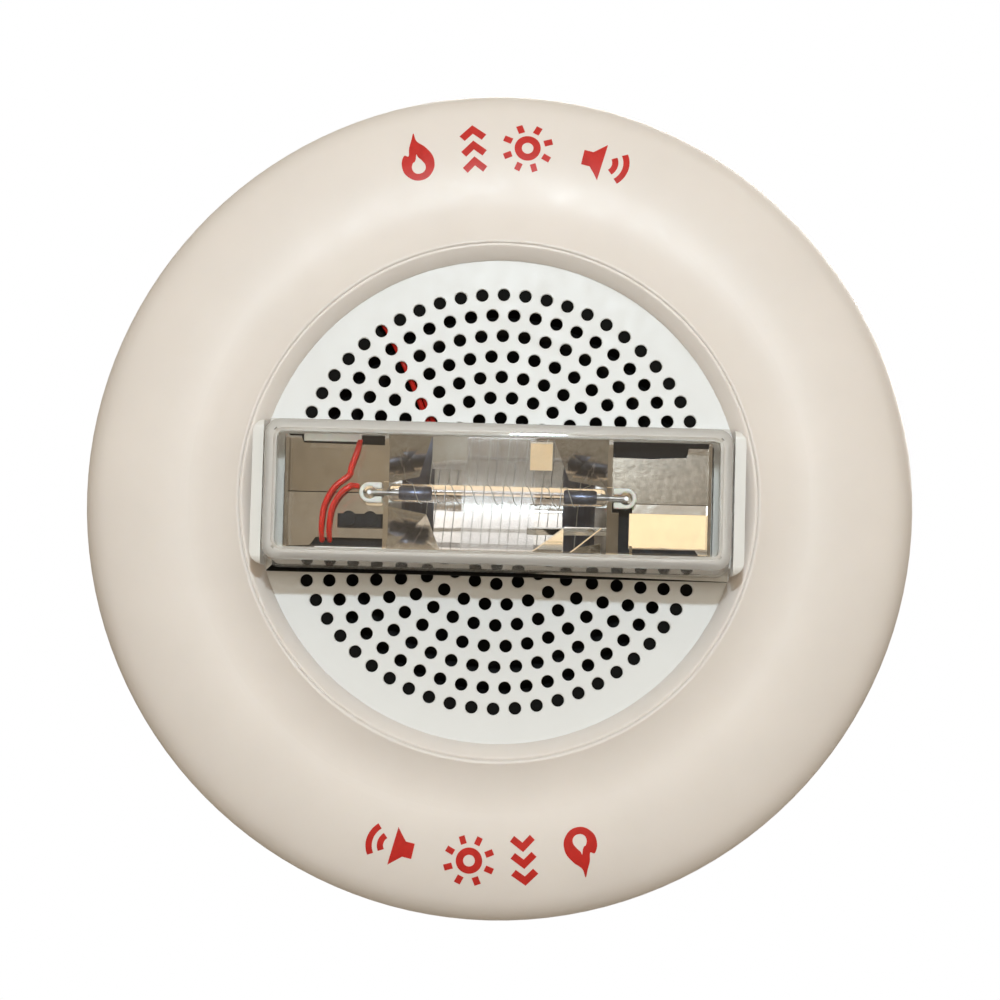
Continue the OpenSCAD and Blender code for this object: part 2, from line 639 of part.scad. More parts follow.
// Two leads that come out through the reflector's notches and cross its left mirror
module trigger_leads() on_wall() color(red) {
    sweep(smooth([[-33.2, 12.4, 28], [-33.2, 12.4, 33], [-32.8, 12.2, 37], [-33.4, 9.5, 38.6],
        [-34.6, 6, 38.6], [-35.2, 4, 38.4], [-38.4, 1.2, 38.8], [-40.6, -3, 38.6], [-41.2, -7.4, 38.2],
        [-41.2, -10.6, 36.4], [-41.2, -11.4, 33], [-41.2, -11.4, 28]], 3), lead_r, 8);
    sweep(smooth([[-32.9, 1.6, 37.4], [-34.6, 1.5, 38.8], [-37, -0.4, 39], [-38.8, -3.6, 38.8],
        [-39.4, -7.4, 38.2], [-39.4, -10.6, 36.4], [-39.4, -11.4, 33], [-39.4, -11.4, 28]], 3),
        lead_r, 8);
}

module strobe_board() on_wall() color(board_green) difference() {
    block([-50.5, 50.5], [-13.2, 13.2], [strobe_board_z, strobe_board_z + board_t]);
    for (p = strobe_posts_at) translate([p[0], p[1], 0]) cylinder(r = 2.1, h = 60);
    translate([grommet_at[0], grommet_at[1], 20]) cylinder(r = 4, h = 20);
}

module flash_capacitor() on_wall() color([0.1, 0.1, 0.12])
    translate([13, -8.6, strobe_board_z + board_t + 2.4]) rotate([0, 90, 0]) cylinder(r = 2.4, h = 24);

module trigger_transformer() on_wall() color([0.8, 0.6, 0.1])
    block([33, 43], [-3, 6], [strobe_board_z + board_t, wing_z - 2.2]);

module strobe_components() on_wall() color(black) {
    block([-43, -33], [-8, -2], [strobe_board_z + board_t, wing_z - 2]);
    block([-22, -12], [-7, 3], [strobe_board_z + board_t, strobe_board_z + board_t + 2]);
    translate([20, 8.5, strobe_board_z + board_t]) cylinder(r = 3, h = 3.5);
    for (x = [-4, 3, 10])
        block([x - 2, x + 2], [8, 10.5], [strobe_board_z + board_t, strobe_board_z + board_t + 1.5]);
}

// A point at radius r along the chassis slot, moved sideways by d
function slot_point(r, d, z) = [r * cos(lead_slot_a) + d * sin(lead_slot_a),
    r * sin(lead_slot_a) - d * cos(lead_slot_a), z];

// One lead from the rear board: round inside the bezel, in through the chassis slot, down behind the
// grille and out through the grommet into the strobe. Leads lie side by side, d to either side.
module strobe_lead(d) sweep(smooth(concat(
    [for (i = [0:6]) let(a = 207 - i * 12, r = 78 + d) [r * cos(a), r * sin(a), 15.4]],
    [[-46 + 0.1 * d, 62.6 + d, 15.8], slot_point(74.5, d, 16.6), slot_point(69.5, d, 18.4),
     slot_point(62, d, 18.6), slot_point(54, d, 19.6),
     [-27.2 + 0.9 * d, 41 + 0.4 * d, 20.6], [-22.4 + 0.9 * d, 31.6 + 0.4 * d, 20.6],
     [-17.6 + 0.9 * d, 20.4 + 0.2 * d, 20], [-15 + 0.9 * d, 12.8, 19.2], [-14 + d, 9.6, 19.8],
     [-14 + d, 9, 21.5], [-14 + d, 9, 25.4], [-14 + d, 9, 27.7]]), 3), lead_r, 8);

module strobe_leads() on_wall() color(red) {
    strobe_lead(-0.8);
    strobe_lead(0.8);
}

mounting_plate();
retaining_clips();
terminal_block_left();
terminal_block_right();
terminal_clamps();
terminal_screws();
terminal_sockets();
bezel();
grille();
chassis();
chassis_screws();
wire_grommet();
speaker_frame();
speaker_gasket();
speaker_screws();
speaker_terminals();
tinsel_leads();
surround();
spider();
top_plate();
magnet();
pole_yoke();
cone();
dust_cap();
coil_former();
voice_coil();
transformer_bracket();
transformer_core();
transformer_bobbin();
transformer_winding();
bracket_screws();
audio_leads_black();
audio_leads_yellow();
rear_board();
board_screws();
pin_header();
header_pins();
candela_switch();
candela_dial();
power_switch();
power_dial();
voltage_switch();
voltage_slider();
blocking_capacitor();
rear_components();
strobe_base();
strobe_gasket();
strobe_screws();
strobe_lens();
reflector();
flash_tube();
tube_electrodes();
trigger_wire();
trigger_leads();
strobe_board();
flash_capacitor();
trigger_transformer();
strobe_components();
strobe_leads();
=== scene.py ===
import math

import bmesh
import bpy
from mathutils import Matrix, Vector
from mathutils.bvhtree import BVHTree


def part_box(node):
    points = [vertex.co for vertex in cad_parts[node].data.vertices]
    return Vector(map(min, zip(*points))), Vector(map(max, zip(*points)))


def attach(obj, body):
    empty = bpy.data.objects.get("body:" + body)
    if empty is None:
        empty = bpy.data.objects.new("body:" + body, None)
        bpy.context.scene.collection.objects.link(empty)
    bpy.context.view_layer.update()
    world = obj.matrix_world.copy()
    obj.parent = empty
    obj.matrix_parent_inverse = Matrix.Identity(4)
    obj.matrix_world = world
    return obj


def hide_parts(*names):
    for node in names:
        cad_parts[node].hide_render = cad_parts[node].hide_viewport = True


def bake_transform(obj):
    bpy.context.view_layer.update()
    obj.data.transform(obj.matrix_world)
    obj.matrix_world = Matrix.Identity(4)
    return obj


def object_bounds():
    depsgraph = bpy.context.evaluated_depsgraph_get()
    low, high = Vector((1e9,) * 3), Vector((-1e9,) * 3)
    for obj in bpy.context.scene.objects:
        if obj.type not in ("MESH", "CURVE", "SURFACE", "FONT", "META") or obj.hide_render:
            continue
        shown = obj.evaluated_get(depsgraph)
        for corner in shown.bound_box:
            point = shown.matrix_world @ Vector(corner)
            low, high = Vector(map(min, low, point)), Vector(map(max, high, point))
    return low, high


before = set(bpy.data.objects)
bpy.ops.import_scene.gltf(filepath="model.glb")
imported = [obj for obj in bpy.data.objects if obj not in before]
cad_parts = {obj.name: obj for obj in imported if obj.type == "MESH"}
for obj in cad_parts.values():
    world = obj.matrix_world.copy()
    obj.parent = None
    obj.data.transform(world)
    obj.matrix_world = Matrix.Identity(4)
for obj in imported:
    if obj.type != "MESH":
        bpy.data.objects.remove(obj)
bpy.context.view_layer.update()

MM = 0.001


# ---------- places, all from the frame ----------

def at(x, y, z):
    """A point x to the right, y up and z out of the wall, in millimetres."""
    return Vector((x * MM, -z * MM, y * MM))


def span(node):
    """A node's (left, right), (bottom, top) and (back, front), in millimetres."""
    lo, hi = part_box(node)
    return (lo.x / MM, hi.x / MM), (lo.z / MM, hi.z / MM), (-hi.y / MM, -lo.y / MM)


ledge_z = span("strobe_gasket")[2][1]
lens_half_w = span("strobe_lens")[0][1]
lens_half_h = span("strobe_lens")[1][1]
lens_z = span("strobe_lens")[2][1]
mirror_z = 36.7
mirror_half_h = span("reflector")[1][1]
tube_half = span("flash_tube")[0][1]
tube_r = span("flash_tube")[1][1]
tube_z = span("flash_tube")[2][1] - tube_r
lead_x = span("tube_electrodes")[0][1] - 0.5


# ---------- mesh helpers ----------

def piece(name, verts, faces, body, material, smooth=True):
    """A new mesh piece that rides on a body, if one is given."""
    mesh = bpy.data.meshes.new(name)
    mesh.from_pydata([tuple(v) for v in verts], [], faces)
    obj = bpy.data.objects.new(name, mesh)
    bpy.context.collection.objects.link(obj)
    bm = bmesh.new()
    bm.from_mesh(mesh)
    bmesh.ops.remove_doubles(bm, verts=bm.verts, dist=1e-7)
    bmesh.ops.recalc_face_normals(bm, faces=bm.faces)
    for face in bm.faces:
        face.smooth = smooth
    bm.to_mesh(mesh)
    bm.free()
    mesh.materials.append(material)
    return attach(obj, body) if body else obj


def weld(parts):
    """Joins (verts, faces) pairs into one."""
    verts, faces = [], []
    for v, f in parts:
        start = len(verts)
        verts += v
        faces += [[i + start for i in face] for face in f]
    return verts, faces


def loft(loops, cap_first=True, cap_last=True):
    """Quads between closed loops of equal length."""
    n = len(loops[0])
    verts = [p for loop in loops for p in loop]
    faces = [[i * n + k, i * n + (k + 1) % n, (i + 1) * n + (k + 1) % n, (i + 1) * n + k]
             for i in range(len(loops) - 1) for k in range(n)]
    if cap_first:
        faces.append(list(range(n)))
    if cap_last:
        faces.append([(len(loops) - 1) * n + k for k in range(n)])
    return verts, faces


def rounded_rect(half_w, half_h, r, steps=10):
    """A closed outline with round corners, as (x, y) pairs."""
    points = []
    for corner, (sx, sy) in enumerate([(1, 1), (-1, 1), (-1, -1), (1, -1)]):
        for i in range(steps + 1):
            a = math.radians(90 * corner + 90 * i / steps)
            points.append((sx * (half_w - r) + r * math.cos(a), sy * (half_h - r) + r * math.sin(a)))
    return points


def slab(outline, z0, z1, edge=0.15):
    """A plate of the given outline between two heights, with its front edge broken."""
    n = len(outline)
    cx = sum(p[0] for p in outline) / n
    cy = sum(p[1] for p in outline) / n

    def inset(p):
        d = math.hypot(p[0] - cx, p[1] - cy)
        return (p[0] - (p[0] - cx) / d * edge, p[1] - (p[1] - cy) / d * edge)

    return loft([[at(x, y, z0) for x, y in outline], [at(x, y, z1 - edge) for x, y in outline],
                 [at(*inset(p), z1) for p in outline]])


def box(x, y, z, edge=0.12):
    """A block between two values in each direction, with its front edge broken."""
    return slab([(x[1], y[1]), (x[0], y[1]), (x[0], y[0]), (x[1], y[0])], z[0], z[1], edge)


def smooth_path(points, per=6):
    """Points along a smooth curve through the given ones."""
    out = []
    for i in range(len(points) - 1):
        p0, p1 = points[max(i - 1, 0)], points[i]
        p2, p3 = points[i + 1], points[min(i + 2, len(points) - 1)]
        for k in range(per):
            t = k / per
            out.append(0.5 * (2 * p1 + (p2 - p0) * t + (2 * p0 - 5 * p1 + 4 * p2 - p3) * t * t
                              + (3 * p1 - p0 - 3 * p2 + p3) * t ** 3))
    return out + [points[-1]]


def tube(path, radius, sides=16):
    """A round tube along a path, with rounded ends. radius is in millimetres."""
    loops = []
    side = None
    last = len(path) - 1
    for i, p in enumerate(path):
        along = (path[min(i + 1, last)] - path[max(i - 1, 0)]).normalized()
        if side is None:
            side = along.orthogonal().normalized()
        side = (side - along * side.dot(along)).normalized()
        up = along.cross(side)
        loops.append([p + radius * MM * (math.cos(a) * side + math.sin(a) * up)
                      for a in (2 * math.pi * k / sides for k in range(sides))])
    return loft(loops)


def by_angle(obj, degrees):
    """Keeps edges sharper than this angle sharp in the shading."""
    bm = bmesh.new()
    bm.from_mesh(obj.data)
    for edge in bm.edges:
        flat = len(edge.link_faces) == 2 and edge.calc_face_angle(0) < math.radians(degrees)
        edge.smooth = flat
    bm.to_mesh(obj.data)
    bm.free()


def round_edges(obj, width, segments=2, angle=35):
    """Rounds the edges sharper than an angle, over a width in millimetres."""
    m = obj.modifiers.new("bevel", "BEVEL")
    m.width = width * MM
    m.segments = segments
    m.limit_method = "ANGLE"
    m.angle_limit = math.radians(angle)


# ---------- material helpers ----------

def rgb(r, g, b):
    """A colour given as on a screen, 0 to 255, as linear values."""
    def linear(c):
        c /= 255
        return c / 12.92 if c <= 0.04045 else ((c + 0.055) / 1.055) ** 2.4
    return (linear(r), linear(g), linear(b), 1.0)


def shade(color, k):
    return tuple(min(1.0, c * k) for c in color[:3]) + (1.0,)


class Nodes:
    """Adds nodes to an empty shader tree."""

    def __init__(self, tree):
        self.tree = tree
        tree.nodes.clear()

    def add(self, kind, **values):
        """A new node with the given properties."""
        node = self.tree.nodes.new(kind)
        for key, value in values.items():
            setattr(node, key, value)
        return node

    def link(self, a, b):
        self.tree.links.new(a, b)

    def ramp(self, fac, stops):
        """A colour ramp over fac. stops are (place, colour)."""
        node = self.add("ShaderNodeValToRGB")
        ramp = node.color_ramp
        while len(ramp.elements) < len(stops):
            ramp.elements.new(0.5)
        for element, (place, color) in zip(ramp.elements, stops):
            element.position = place
            element.color = color
        self.link(fac, node.inputs["Fac"])
        return node.outputs["Color"]

    def mixed(self, fac, a, b):
        """Colour a where fac is 0, b where it is 1."""
        node = self.add("ShaderNodeMix", data_type="RGBA")
        self.link(fac, node.inputs["Factor"])
        self.link(a, node.inputs["A"])
        self.link(b, node.inputs["B"])
        return node.outputs["Result"]

    def mapped(self, value, old, new=(0, 1), **values):
        """Maps the range old of a value to the range new."""
        node = self.add("ShaderNodeMapRange", **values)
        node.inputs["From Min"].default_value, node.inputs["From Max"].default_value = old
        node.inputs["To Min"].default_value, node.inputs["To Max"].default_value = new
        self.link(value, node.inputs["Value"])
        return node.outputs[0]


class Surface(Nodes):
    """A material with one Principled shader, and helpers that add texture to it."""

    def __init__(self, name, color, roughness, metallic=0.0):
        self.material = bpy.data.materials.new(name)
        self.material.use_nodes = True
        super().__init__(self.material.node_tree)
        self.out = self.add("ShaderNodeOutputMaterial")
        self.bsdf = self.add("ShaderNodeBsdfPrincipled")
        self.link(self.bsdf.outputs[0], self.out.inputs["Surface"])
        self.color = color
        self.rough = roughness
        self.set("Base Color", color)
        self.set("Roughness", roughness)
        self.set("Metallic", metallic)
        self.coords = self.add("ShaderNodeTexCoord").outputs["Object"]

    def set(self, socket, value):
        """Sets a number or colour of the shader."""
        self.bsdf.inputs[socket].default_value = value
        return self

    def stretched(self, scale):
        """Object coordinates scaled by three numbers."""
        node = self.add("ShaderNodeMapping")
        node.inputs["Scale"].default_value = scale
        self.link(self.coords, node.inputs["Vector"])
        return node.outputs[0]

    def noise(self, scale, detail=3.0, roughness=0.55, coords=None):
        """Cloudy noise, about scale spots in a metre."""
        node = self.add("ShaderNodeTexNoise")
        node.inputs["Scale"].default_value = scale
        node.inputs["Detail"].default_value = detail
        node.inputs["Roughness"].default_value = roughness
        self.link(coords or self.coords, node.inputs["Vector"])
        return node.outputs["Fac"]

    def cells(self, scale, coords=None):
        """Irregular cells, about scale of them in a metre."""
        node = self.add("ShaderNodeTexVoronoi")
        node.inputs["Scale"].default_value = scale
        self.link(coords or self.coords, node.inputs["Vector"])
        return node

    def bands(self, scale, direction="Z", distortion=0.0, profile="SIN"):
        """Parallel bands across one direction."""
        node = self.add("ShaderNodeTexWave", bands_direction=direction, wave_profile=profile)
        node.inputs["Scale"].default_value = scale
        node.inputs["Distortion"].default_value = distortion
        self.link(self.coords, node.inputs["Vector"])
        return node.outputs["Fac"]

    def mottle(self, scale, amount, low=0.35, high=0.65, coords=None):
        """The colour varies from darker to lighter by amount."""
        fac = self.noise(scale, coords=coords)
        stops = [(low, shade(self.color, 1 - amount)), (high, shade(self.color, 1 + amount))]
        self.link(self.ramp(fac, stops), self.bsdf.inputs["Base Color"])
        return self

    def vary_roughness(self, scale, amount, coords=None):
        """The roughness wanders by amount about its value."""
        low = max(0.02, self.rough - amount)
        fac = self.noise(scale, coords=coords)
        self.link(self.mapped(fac, (0.3, 0.7), (low, self.rough + amount)), self.bsdf.inputs["Roughness"])
        return self

    def bump(self, height, distance, strength=1.0):
        """Relief from a height of 0 to 1. distance is in millimetres. Calls add up."""
        node = self.add("ShaderNodeBump")
        node.inputs["Strength"].default_value = strength
        node.inputs["Distance"].default_value = distance * MM
        before = self.bsdf.inputs["Normal"].links
        if before:
            self.link(before[0].from_socket, node.inputs["Normal"])
        self.link(height, node.inputs["Height"])
        self.link(node.outputs[0], self.bsdf.inputs["Normal"])
        return self

    def pass_shadows(self, tint):
        """Light goes straight through, so that what is behind the surface is lit."""
        path = self.add("ShaderNodeLightPath")
        clear = self.add("ShaderNodeBsdfTransparent")
        clear.inputs["Color"].default_value = tint
        mix = self.add("ShaderNodeMixShader")
        self.link(path.outputs["Is Shadow Ray"], mix.inputs[0])
        self.link(self.bsdf.outputs[0], mix.inputs[1])
        self.link(clear.outputs[0], mix.inputs[2])
        self.link(mix.outputs[0], self.out.inputs["Surface"])
        return self


def moulded(name, color, roughness, grain=0.012, mottle=0.015):
    """Injection moulded plastic with a fine spark-eroded grain."""
    s = Surface(name, color, roughness)
    s.mottle(45, mottle).vary_roughness(180, 0.05)
    return s.bump(s.noise(2600, 2), grain).bump(s.noise(260, 2), grain)


def plated(name, color, roughness):
    """Zinc plated steel: faint spangle and rolling lines."""
    s = Surface(name, color, roughness, metallic=1.0)
    s.mottle(900, 0.10).vary_roughness(350, 0.10)
    return s.bump(s.noise(500, 3, coords=s.stretched((1, 1, 14))), 0.006)


# ---------- materials ----------

def plastics(m):
    """The bezel, the paint on the grille and the moulded plastics."""
    s = moulded("bezel_plastic", rgb(245, 237, 231), 0.40, grain=0.008)
    s.set("Subsurface Weight", 0.04).set("Subsurface Scale", 0.002)
    s.set("Subsurface Radius", (1.0, 0.8, 0.6))
    m["bezel"] = s.material

    s = Surface("white_paint", rgb(238, 239, 239), 0.42)
    s.mottle(30, 0.01).vary_roughness(300, 0.06)
    m["paint"] = s.bump(s.noise(900, 2), 0.010).material

    m["white_plastic"] = moulded("white_plastic", rgb(241, 238, 233), 0.34, grain=0.006).material
    m["black_plastic"] = moulded("black_plastic", rgb(30, 30, 31), 0.45).material
    # The chassis is near black, darker than its plastic: painted shade for the dark seen through the
    # grille's holes
    s = moulded("chassis_painted_shade", rgb(17, 16, 15), 0.7)
    m["chassis"] = s.set("Specular IOR Level", 0.1).material
    m["blue_plastic"] = moulded("blue_plastic", rgb(28, 52, 110), 0.38).material


def metals(m):
    """Metal surfaces."""
    m["steel"] = plated("zinc_steel", rgb(206, 208, 208), 0.42).material
    m["plain_steel"] = plated("plain_steel", rgb(186, 186, 188), 0.36).material
    m["gold"] = plated("gold_flash", rgb(214, 176, 96), 0.22).material

    s = Surface("copper_wire", rgb(196, 112, 66), 0.32, metallic=1.0)
    m["copper"] = s.mottle(600, 0.12).bump(s.bands(1400, "Z"), 0.03).material


def soft_parts(m):
    """Foam and silicone."""
    s = Surface("foam", rgb(16, 16, 16), 0.9)
    s.set("Specular IOR Level", 0.2)
    m["foam"] = s.mottle(800, 0.3).bump(s.noise(2200, 3), 0.08).material

    s = Surface("pale_silicone", rgb(214, 211, 205), 0.55)
    m["silicone"] = s.mottle(400, 0.04).bump(s.noise(900, 2), 0.02).material


def speaker_materials(m):
    """What the loudspeaker and its transformer are made of."""
    s = Surface("black_paint", rgb(25, 25, 26), 0.55)
    s.set("Specular IOR Level", 0.2)
    m["black_paint"] = s.mottle(200, 0.08).vary_roughness(250, 0.08).bump(s.noise(700, 3), 0.015).material

    s = Surface("ferrite", rgb(58, 58, 61), 0.55)
    s.mottle(1500, 0.25).vary_roughness(600, 0.1)
    m["ferrite"] = s.bump(s.noise(900, 4), 0.03).material

    s = Surface("cone_paper", rgb(26, 26, 28), 0.8)
    s.mottle(900, 0.25, coords=s.stretched((1, 3, 1)))
    m["cone"] = s.bump(s.noise(1600, 4), 0.06).bump(s.noise(350, 3), 0.08).material

    s = Surface("surround_rubber", rgb(20, 20, 21), 0.6)
    m["surround"] = s.mottle(500, 0.15).bump(s.noise(1500, 2), 0.01).material

    s = Surface("spider_cloth", rgb(190, 150, 80), 0.85)
    s.mottle(400, 0.15)
    m["cloth"] = s.bump(s.bands(900, "X"), 0.05).bump(s.bands(900, "Z"), 0.05).material

    s = Surface("brown_paper", rgb(168, 132, 88), 0.75)
    m["paper"] = s.mottle(700, 0.15).bump(s.noise(1200, 4), 0.03).material

    s = Surface("laminated_steel", rgb(92, 92, 96), 0.42, metallic=0.9)
    s.mottle(300, 0.2).vary_roughness(200, 0.1)
    m["laminations"] = s.bump(s.bands(620, "Y", profile="SAW"), 0.12).material


def electrical_materials(m):
    """Tape, boards, components and insulated leads."""
    s = Surface("yellow_tape", rgb(222, 170, 52), 0.28)
    s.mottle(200, 0.05).set("Coat Weight", 0.4)
    m["tape"] = s.bump(s.bands(260, "Y", 1.0), 0.03).material

    s = Surface("circuit_board", rgb(28, 92, 52), 0.32)
    traces = s.cells(420).outputs["Distance"]
    stops = [(0.42, rgb(26, 84, 48)), (0.48, rgb(52, 124, 76))]
    s.link(s.ramp(traces, stops), s.bsdf.inputs["Base Color"])
    m["board"] = s.set("Coat Weight", 0.5).bump(traces, 0.03).material

    s = Surface("dark_circuit_board", rgb(20, 24, 24), 0.30)
    traces = s.cells(380).outputs["Distance"]
    stops = [(0.42, rgb(16, 19, 20)), (0.48, rgb(34, 40, 40))]
    s.link(s.ramp(traces, stops), s.bsdf.inputs["Base Color"])
    m["dark_board"] = s.set("Coat Weight", 0.5).bump(traces, 0.03).material

    insulation = {"red": rgb(196, 26, 12), "yellow": rgb(214, 168, 40), "black": rgb(24, 24, 25)}
    for name, color in insulation.items():
        s = Surface(name + "_insulation", color, 0.36)
        s.mottle(300, 0.08).vary_roughness(400, 0.06)
        m[name + "_wire"] = s.bump(s.noise(700, 2), 0.01).material

    s = Surface("component_black", rgb(26, 27, 30), 0.34)
    m["component"] = s.mottle(300, 0.1).vary_roughness(300, 0.08).bump(s.noise(1500, 2), 0.01).material
    s = Surface("component_red", rgb(150, 40, 26), 0.3)
    m["component_red"] = s.mottle(200, 0.1).vary_roughness(200, 0.06).bump(s.noise(300, 2), 0.05).material


def reflector_materials(m):
    """The metallised mirror and its frame."""
    s = Surface("metallised", rgb(232, 229, 224), 0.05, metallic=1.0)
    s.mottle(120, 0.03).vary_roughness(260, 0.03)
    m["mirror"] = s.bump(s.noise(90, 2), 0.06).bump(s.noise(1400, 2), 0.0012).material

    s = Surface("metallised_trough", rgb(236, 234, 231), 0.19, metallic=1.0)
    s.set("Coat Weight", 1.0).set("Coat IOR", 3.6).set("Coat Roughness", 0.02)
    s.mottle(120, 0.03).vary_roughness(260, 0.03)
    m["mirror_trough"] = s.bump(s.noise(90, 2), 0.06).bump(s.noise(1400, 2), 0.0012).material

    s = Surface("metallised_crinkled", rgb(196, 188, 178), 0.11, metallic=1.0)
    s.mottle(900, 0.10).vary_roughness(900, 0.006)
    s.bump(s.noise(420, 2), 0.001).bump(s.cells(1500).outputs["Distance"], 0.005)
    m["mirror_crinkled"] = s.material

    s = Surface("dark_frame", rgb(17, 20, 28), 0.6)
    s.set("Specular IOR Level", 0.2)
    m["dark_frame"] = s.mottle(400, 0.2).vary_roughness(300, 0.1).bump(s.noise(900, 2), 0.03).material


def clear_materials(m):
    """The lens, the flash tube and its electrodes."""
    s = Surface("frosted_edge", rgb(226, 224, 220), 0.7)
    m["frosted"] = s.mottle(600, 0.04).bump(s.noise(2500, 3), 0.03).material

    s = Surface("electrode_metal", rgb(112, 118, 136), 0.30, metallic=1.0)
    m["electrode"] = s.mottle(900, 0.2).bump(s.noise(900, 2), 0.01).material
    s = Surface("clear_polycarbonate", rgb(252, 252, 250), 0.02)
    s.set("Transmission Weight", 1.0).set("IOR", 1.585)
    s.bump(s.noise(60, 2), 0.02)
    m["lens"] = s.pass_shadows((0.95, 0.95, 0.94, 1.0)).material

    # A little of the side walls is white diffuse, a faint painted sheen; the rest is clear plastic
    s = Surface("clear_polycarbonate_wall", rgb(252, 249, 244), 0.08)
    s.set("Transmission Weight", 0.92).set("IOR", 1.585)
    s.bump(s.noise(80, 2), 0.03)
    m["lens_wall"] = s.pass_shadows((0.14, 0.13, 0.12, 1.0)).material

    # The rounded edges are half white diffuse, lighter than the clear lens: painted highlight for light
    # caught in the edge
    s = Surface("polycarbonate_edge_painted_highlight", rgb(253, 251, 249), 0.12)
    s.set("Transmission Weight", 0.5).set("IOR", 1.585)
    s.bump(s.noise(80, 2), 0.04)
    m["lens_edge_highlight"] = s.pass_shadows((0.55, 0.54, 0.52, 1.0)).material

    s = Surface("quartz", rgb(250, 251, 255), 0.01)
    s.set("Transmission Weight", 1.0).set("IOR", 1.46)
    s.bump(s.noise(90, 2), 0.01)
    m["quartz"] = s.pass_shadows((0.95, 0.96, 0.97, 1.0)).material


def white_gloss(m):
    """The posts and clips in the strobe."""
    s = Surface("white_gloss", rgb(240, 240, 238), 0.12)
    s.set("Coat Weight", 0.6).set("Subsurface Weight", 0.1).set("Subsurface Scale", 0.002)
    m["white_gloss"] = s.mottle(200, 0.02).bump(s.noise(300, 2), 0.02).material


def gas_bore(m):
    """The hollow of the flash tube."""
    s = Surface("gas_bore", rgb(252, 252, 255), 0.01)
    s.set("Transmission Weight", 1.0).set("IOR", 1.01)
    s.bump(s.noise(90, 2), 0.005)
    m["bore"] = s.pass_shadows((0.98, 0.98, 0.99, 1.0)).material


def red_ink(m):
    """The marks on the bezel."""
    s = Surface("red_ink", rgb(206, 38, 30), 0.38)
    m["ink"] = s.mottle(500, 0.07).vary_roughness(500, 0.08).bump(s.noise(2400, 2), 0.006).material


mat = {}
for group in (plastics, metals, soft_parts, speaker_materials, electrical_materials, reflector_materials,
              clear_materials, white_gloss, gas_bore, red_ink):
    group(mat)

# Each CAD node's material, and the width that its sharp edges are broken by, in millimetres
FINISH = {
    "mounting_plate": ("steel", 0.2), "retaining_clips": ("plain_steel", None),
    "terminal_block_left": ("black_plastic", 0.25), "terminal_block_right": ("black_plastic", 0.25),
    "terminal_clamps": ("steel", 0.12), "terminal_screws": ("steel", 0.12),
    "terminal_sockets": ("gold", None), "bezel": ("bezel", None), "grille": ("paint", 0.22),
    "chassis": ("chassis", 0.2), "chassis_screws": ("steel", 0.12), "wire_grommet": ("foam", 0.2),
    "speaker_frame": ("black_paint", 0.25), "speaker_gasket": ("foam", None),
    "speaker_screws": ("steel", 0.12), "speaker_terminals": ("steel", 0.1),
    "tinsel_leads": ("copper", None), "surround": ("surround", None), "spider": ("cloth", None),
    "top_plate": ("plain_steel", 0.3), "magnet": ("ferrite", 0.6),
    "pole_yoke": ("plain_steel", 0.4), "cone": ("cone", None), "dust_cap": ("cone", None),
    "coil_former": ("paper", None), "voice_coil": ("copper", None),
    "transformer_bracket": ("plain_steel", 0.2), "transformer_core": ("laminations", 0.2),
    "transformer_bobbin": ("white_plastic", 0.15), "transformer_winding": ("tape", 0.4),
    "bracket_screws": ("steel", 0.15), "audio_leads_black": ("black_wire", None),
    "audio_leads_yellow": ("yellow_wire", None), "rear_board": ("board", None),
    "board_screws": ("steel", 0.12), "pin_header": ("black_plastic", 0.15),
    "header_pins": ("gold", None), "candela_switch": ("blue_plastic", 0.2),
    "candela_dial": ("white_plastic", 0.15), "power_switch": ("blue_plastic", 0.2),
    "power_dial": ("white_plastic", 0.15), "voltage_switch": ("black_plastic", 0.2),
    "voltage_slider": ("white_plastic", 0.15), "blocking_capacitor": ("component_red", 0.6),
    "rear_components": ("component", 0.3), "strobe_base": ("white_plastic", 0.45),
    "strobe_gasket": ("silicone", None), "strobe_screws": ("steel", 0.12),
    "strobe_lens": ("lens", None), "reflector": ("mirror", None), "flash_tube": ("quartz", None),
    "tube_electrodes": ("plain_steel", None), "trigger_wire": ("steel", None),
    "trigger_leads": ("red_wire", None), "strobe_board": ("dark_board", None),
    "flash_capacitor": ("component", 0.3), "trigger_transformer": ("tape", 0.4),
    "strobe_components": ("component", 0.3), "strobe_leads": ("red_wire", None),
}


# CAD meshes have their corners split; points nearer than this, in metres, are one
SPLIT_CORNER = 1e-6


def finish_cad():
    """Gives every CAD node its material. The gasket is silicone; its faces below the lens are black foam,
    painted shade for the dark gap there.
    """
    for name, (material, bevel) in FINISH.items():
        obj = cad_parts[name]
        obj.data.materials.clear()
        obj.data.materials.append(mat[material])
        obj.modifiers.new("weld", "WELD").merge_threshold = SPLIT_CORNER
        if bevel:
            round_edges(obj, bevel)
    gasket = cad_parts["strobe_gasket"]
    gasket.data.materials.append(mat["foam"])
    # Black foam on the faces below the lens only: painted shade for the dark gap under the lens
    for face in gasket.data.polygons:
        if face.center.z / MM < -lens_half_h:
            face.material_index = 1


# ---------- strobe lens ----------

LENS_WALL = 2.0
LENS_DRAFT = 0.054
LENS_CORNER = 3.6
LENS_EDGE = 2.6


def lens_loops(inset, front, edge):
    """Outlines of the lens from its open back to its front face, with a round front edge."""
    loops = []

    def outline(z, pull):
        narrow = inset + (z - 28) * LENS_DRAFT + pull
        r = max(0.8, LENS_CORNER - inset * 0.6 - pull * 0.5)
        return [at(x, y, z) for x, y in rounded_rect(lens_half_w - narrow, lens_half_h - narrow, r)]

    back = ledge_z + 0.2
    for i in range(5):
        loops.append(outline(back + (front - edge - back) * i / 4, 0))
    for i in range(1, 9):
        a = math.radians(90 * i / 8)
        loops.append(outline(front - edge + edge * math.sin(a), edge * (1 - math.cos(a))))
    loops.append(outline(front, edge + 0.6))
    return loops


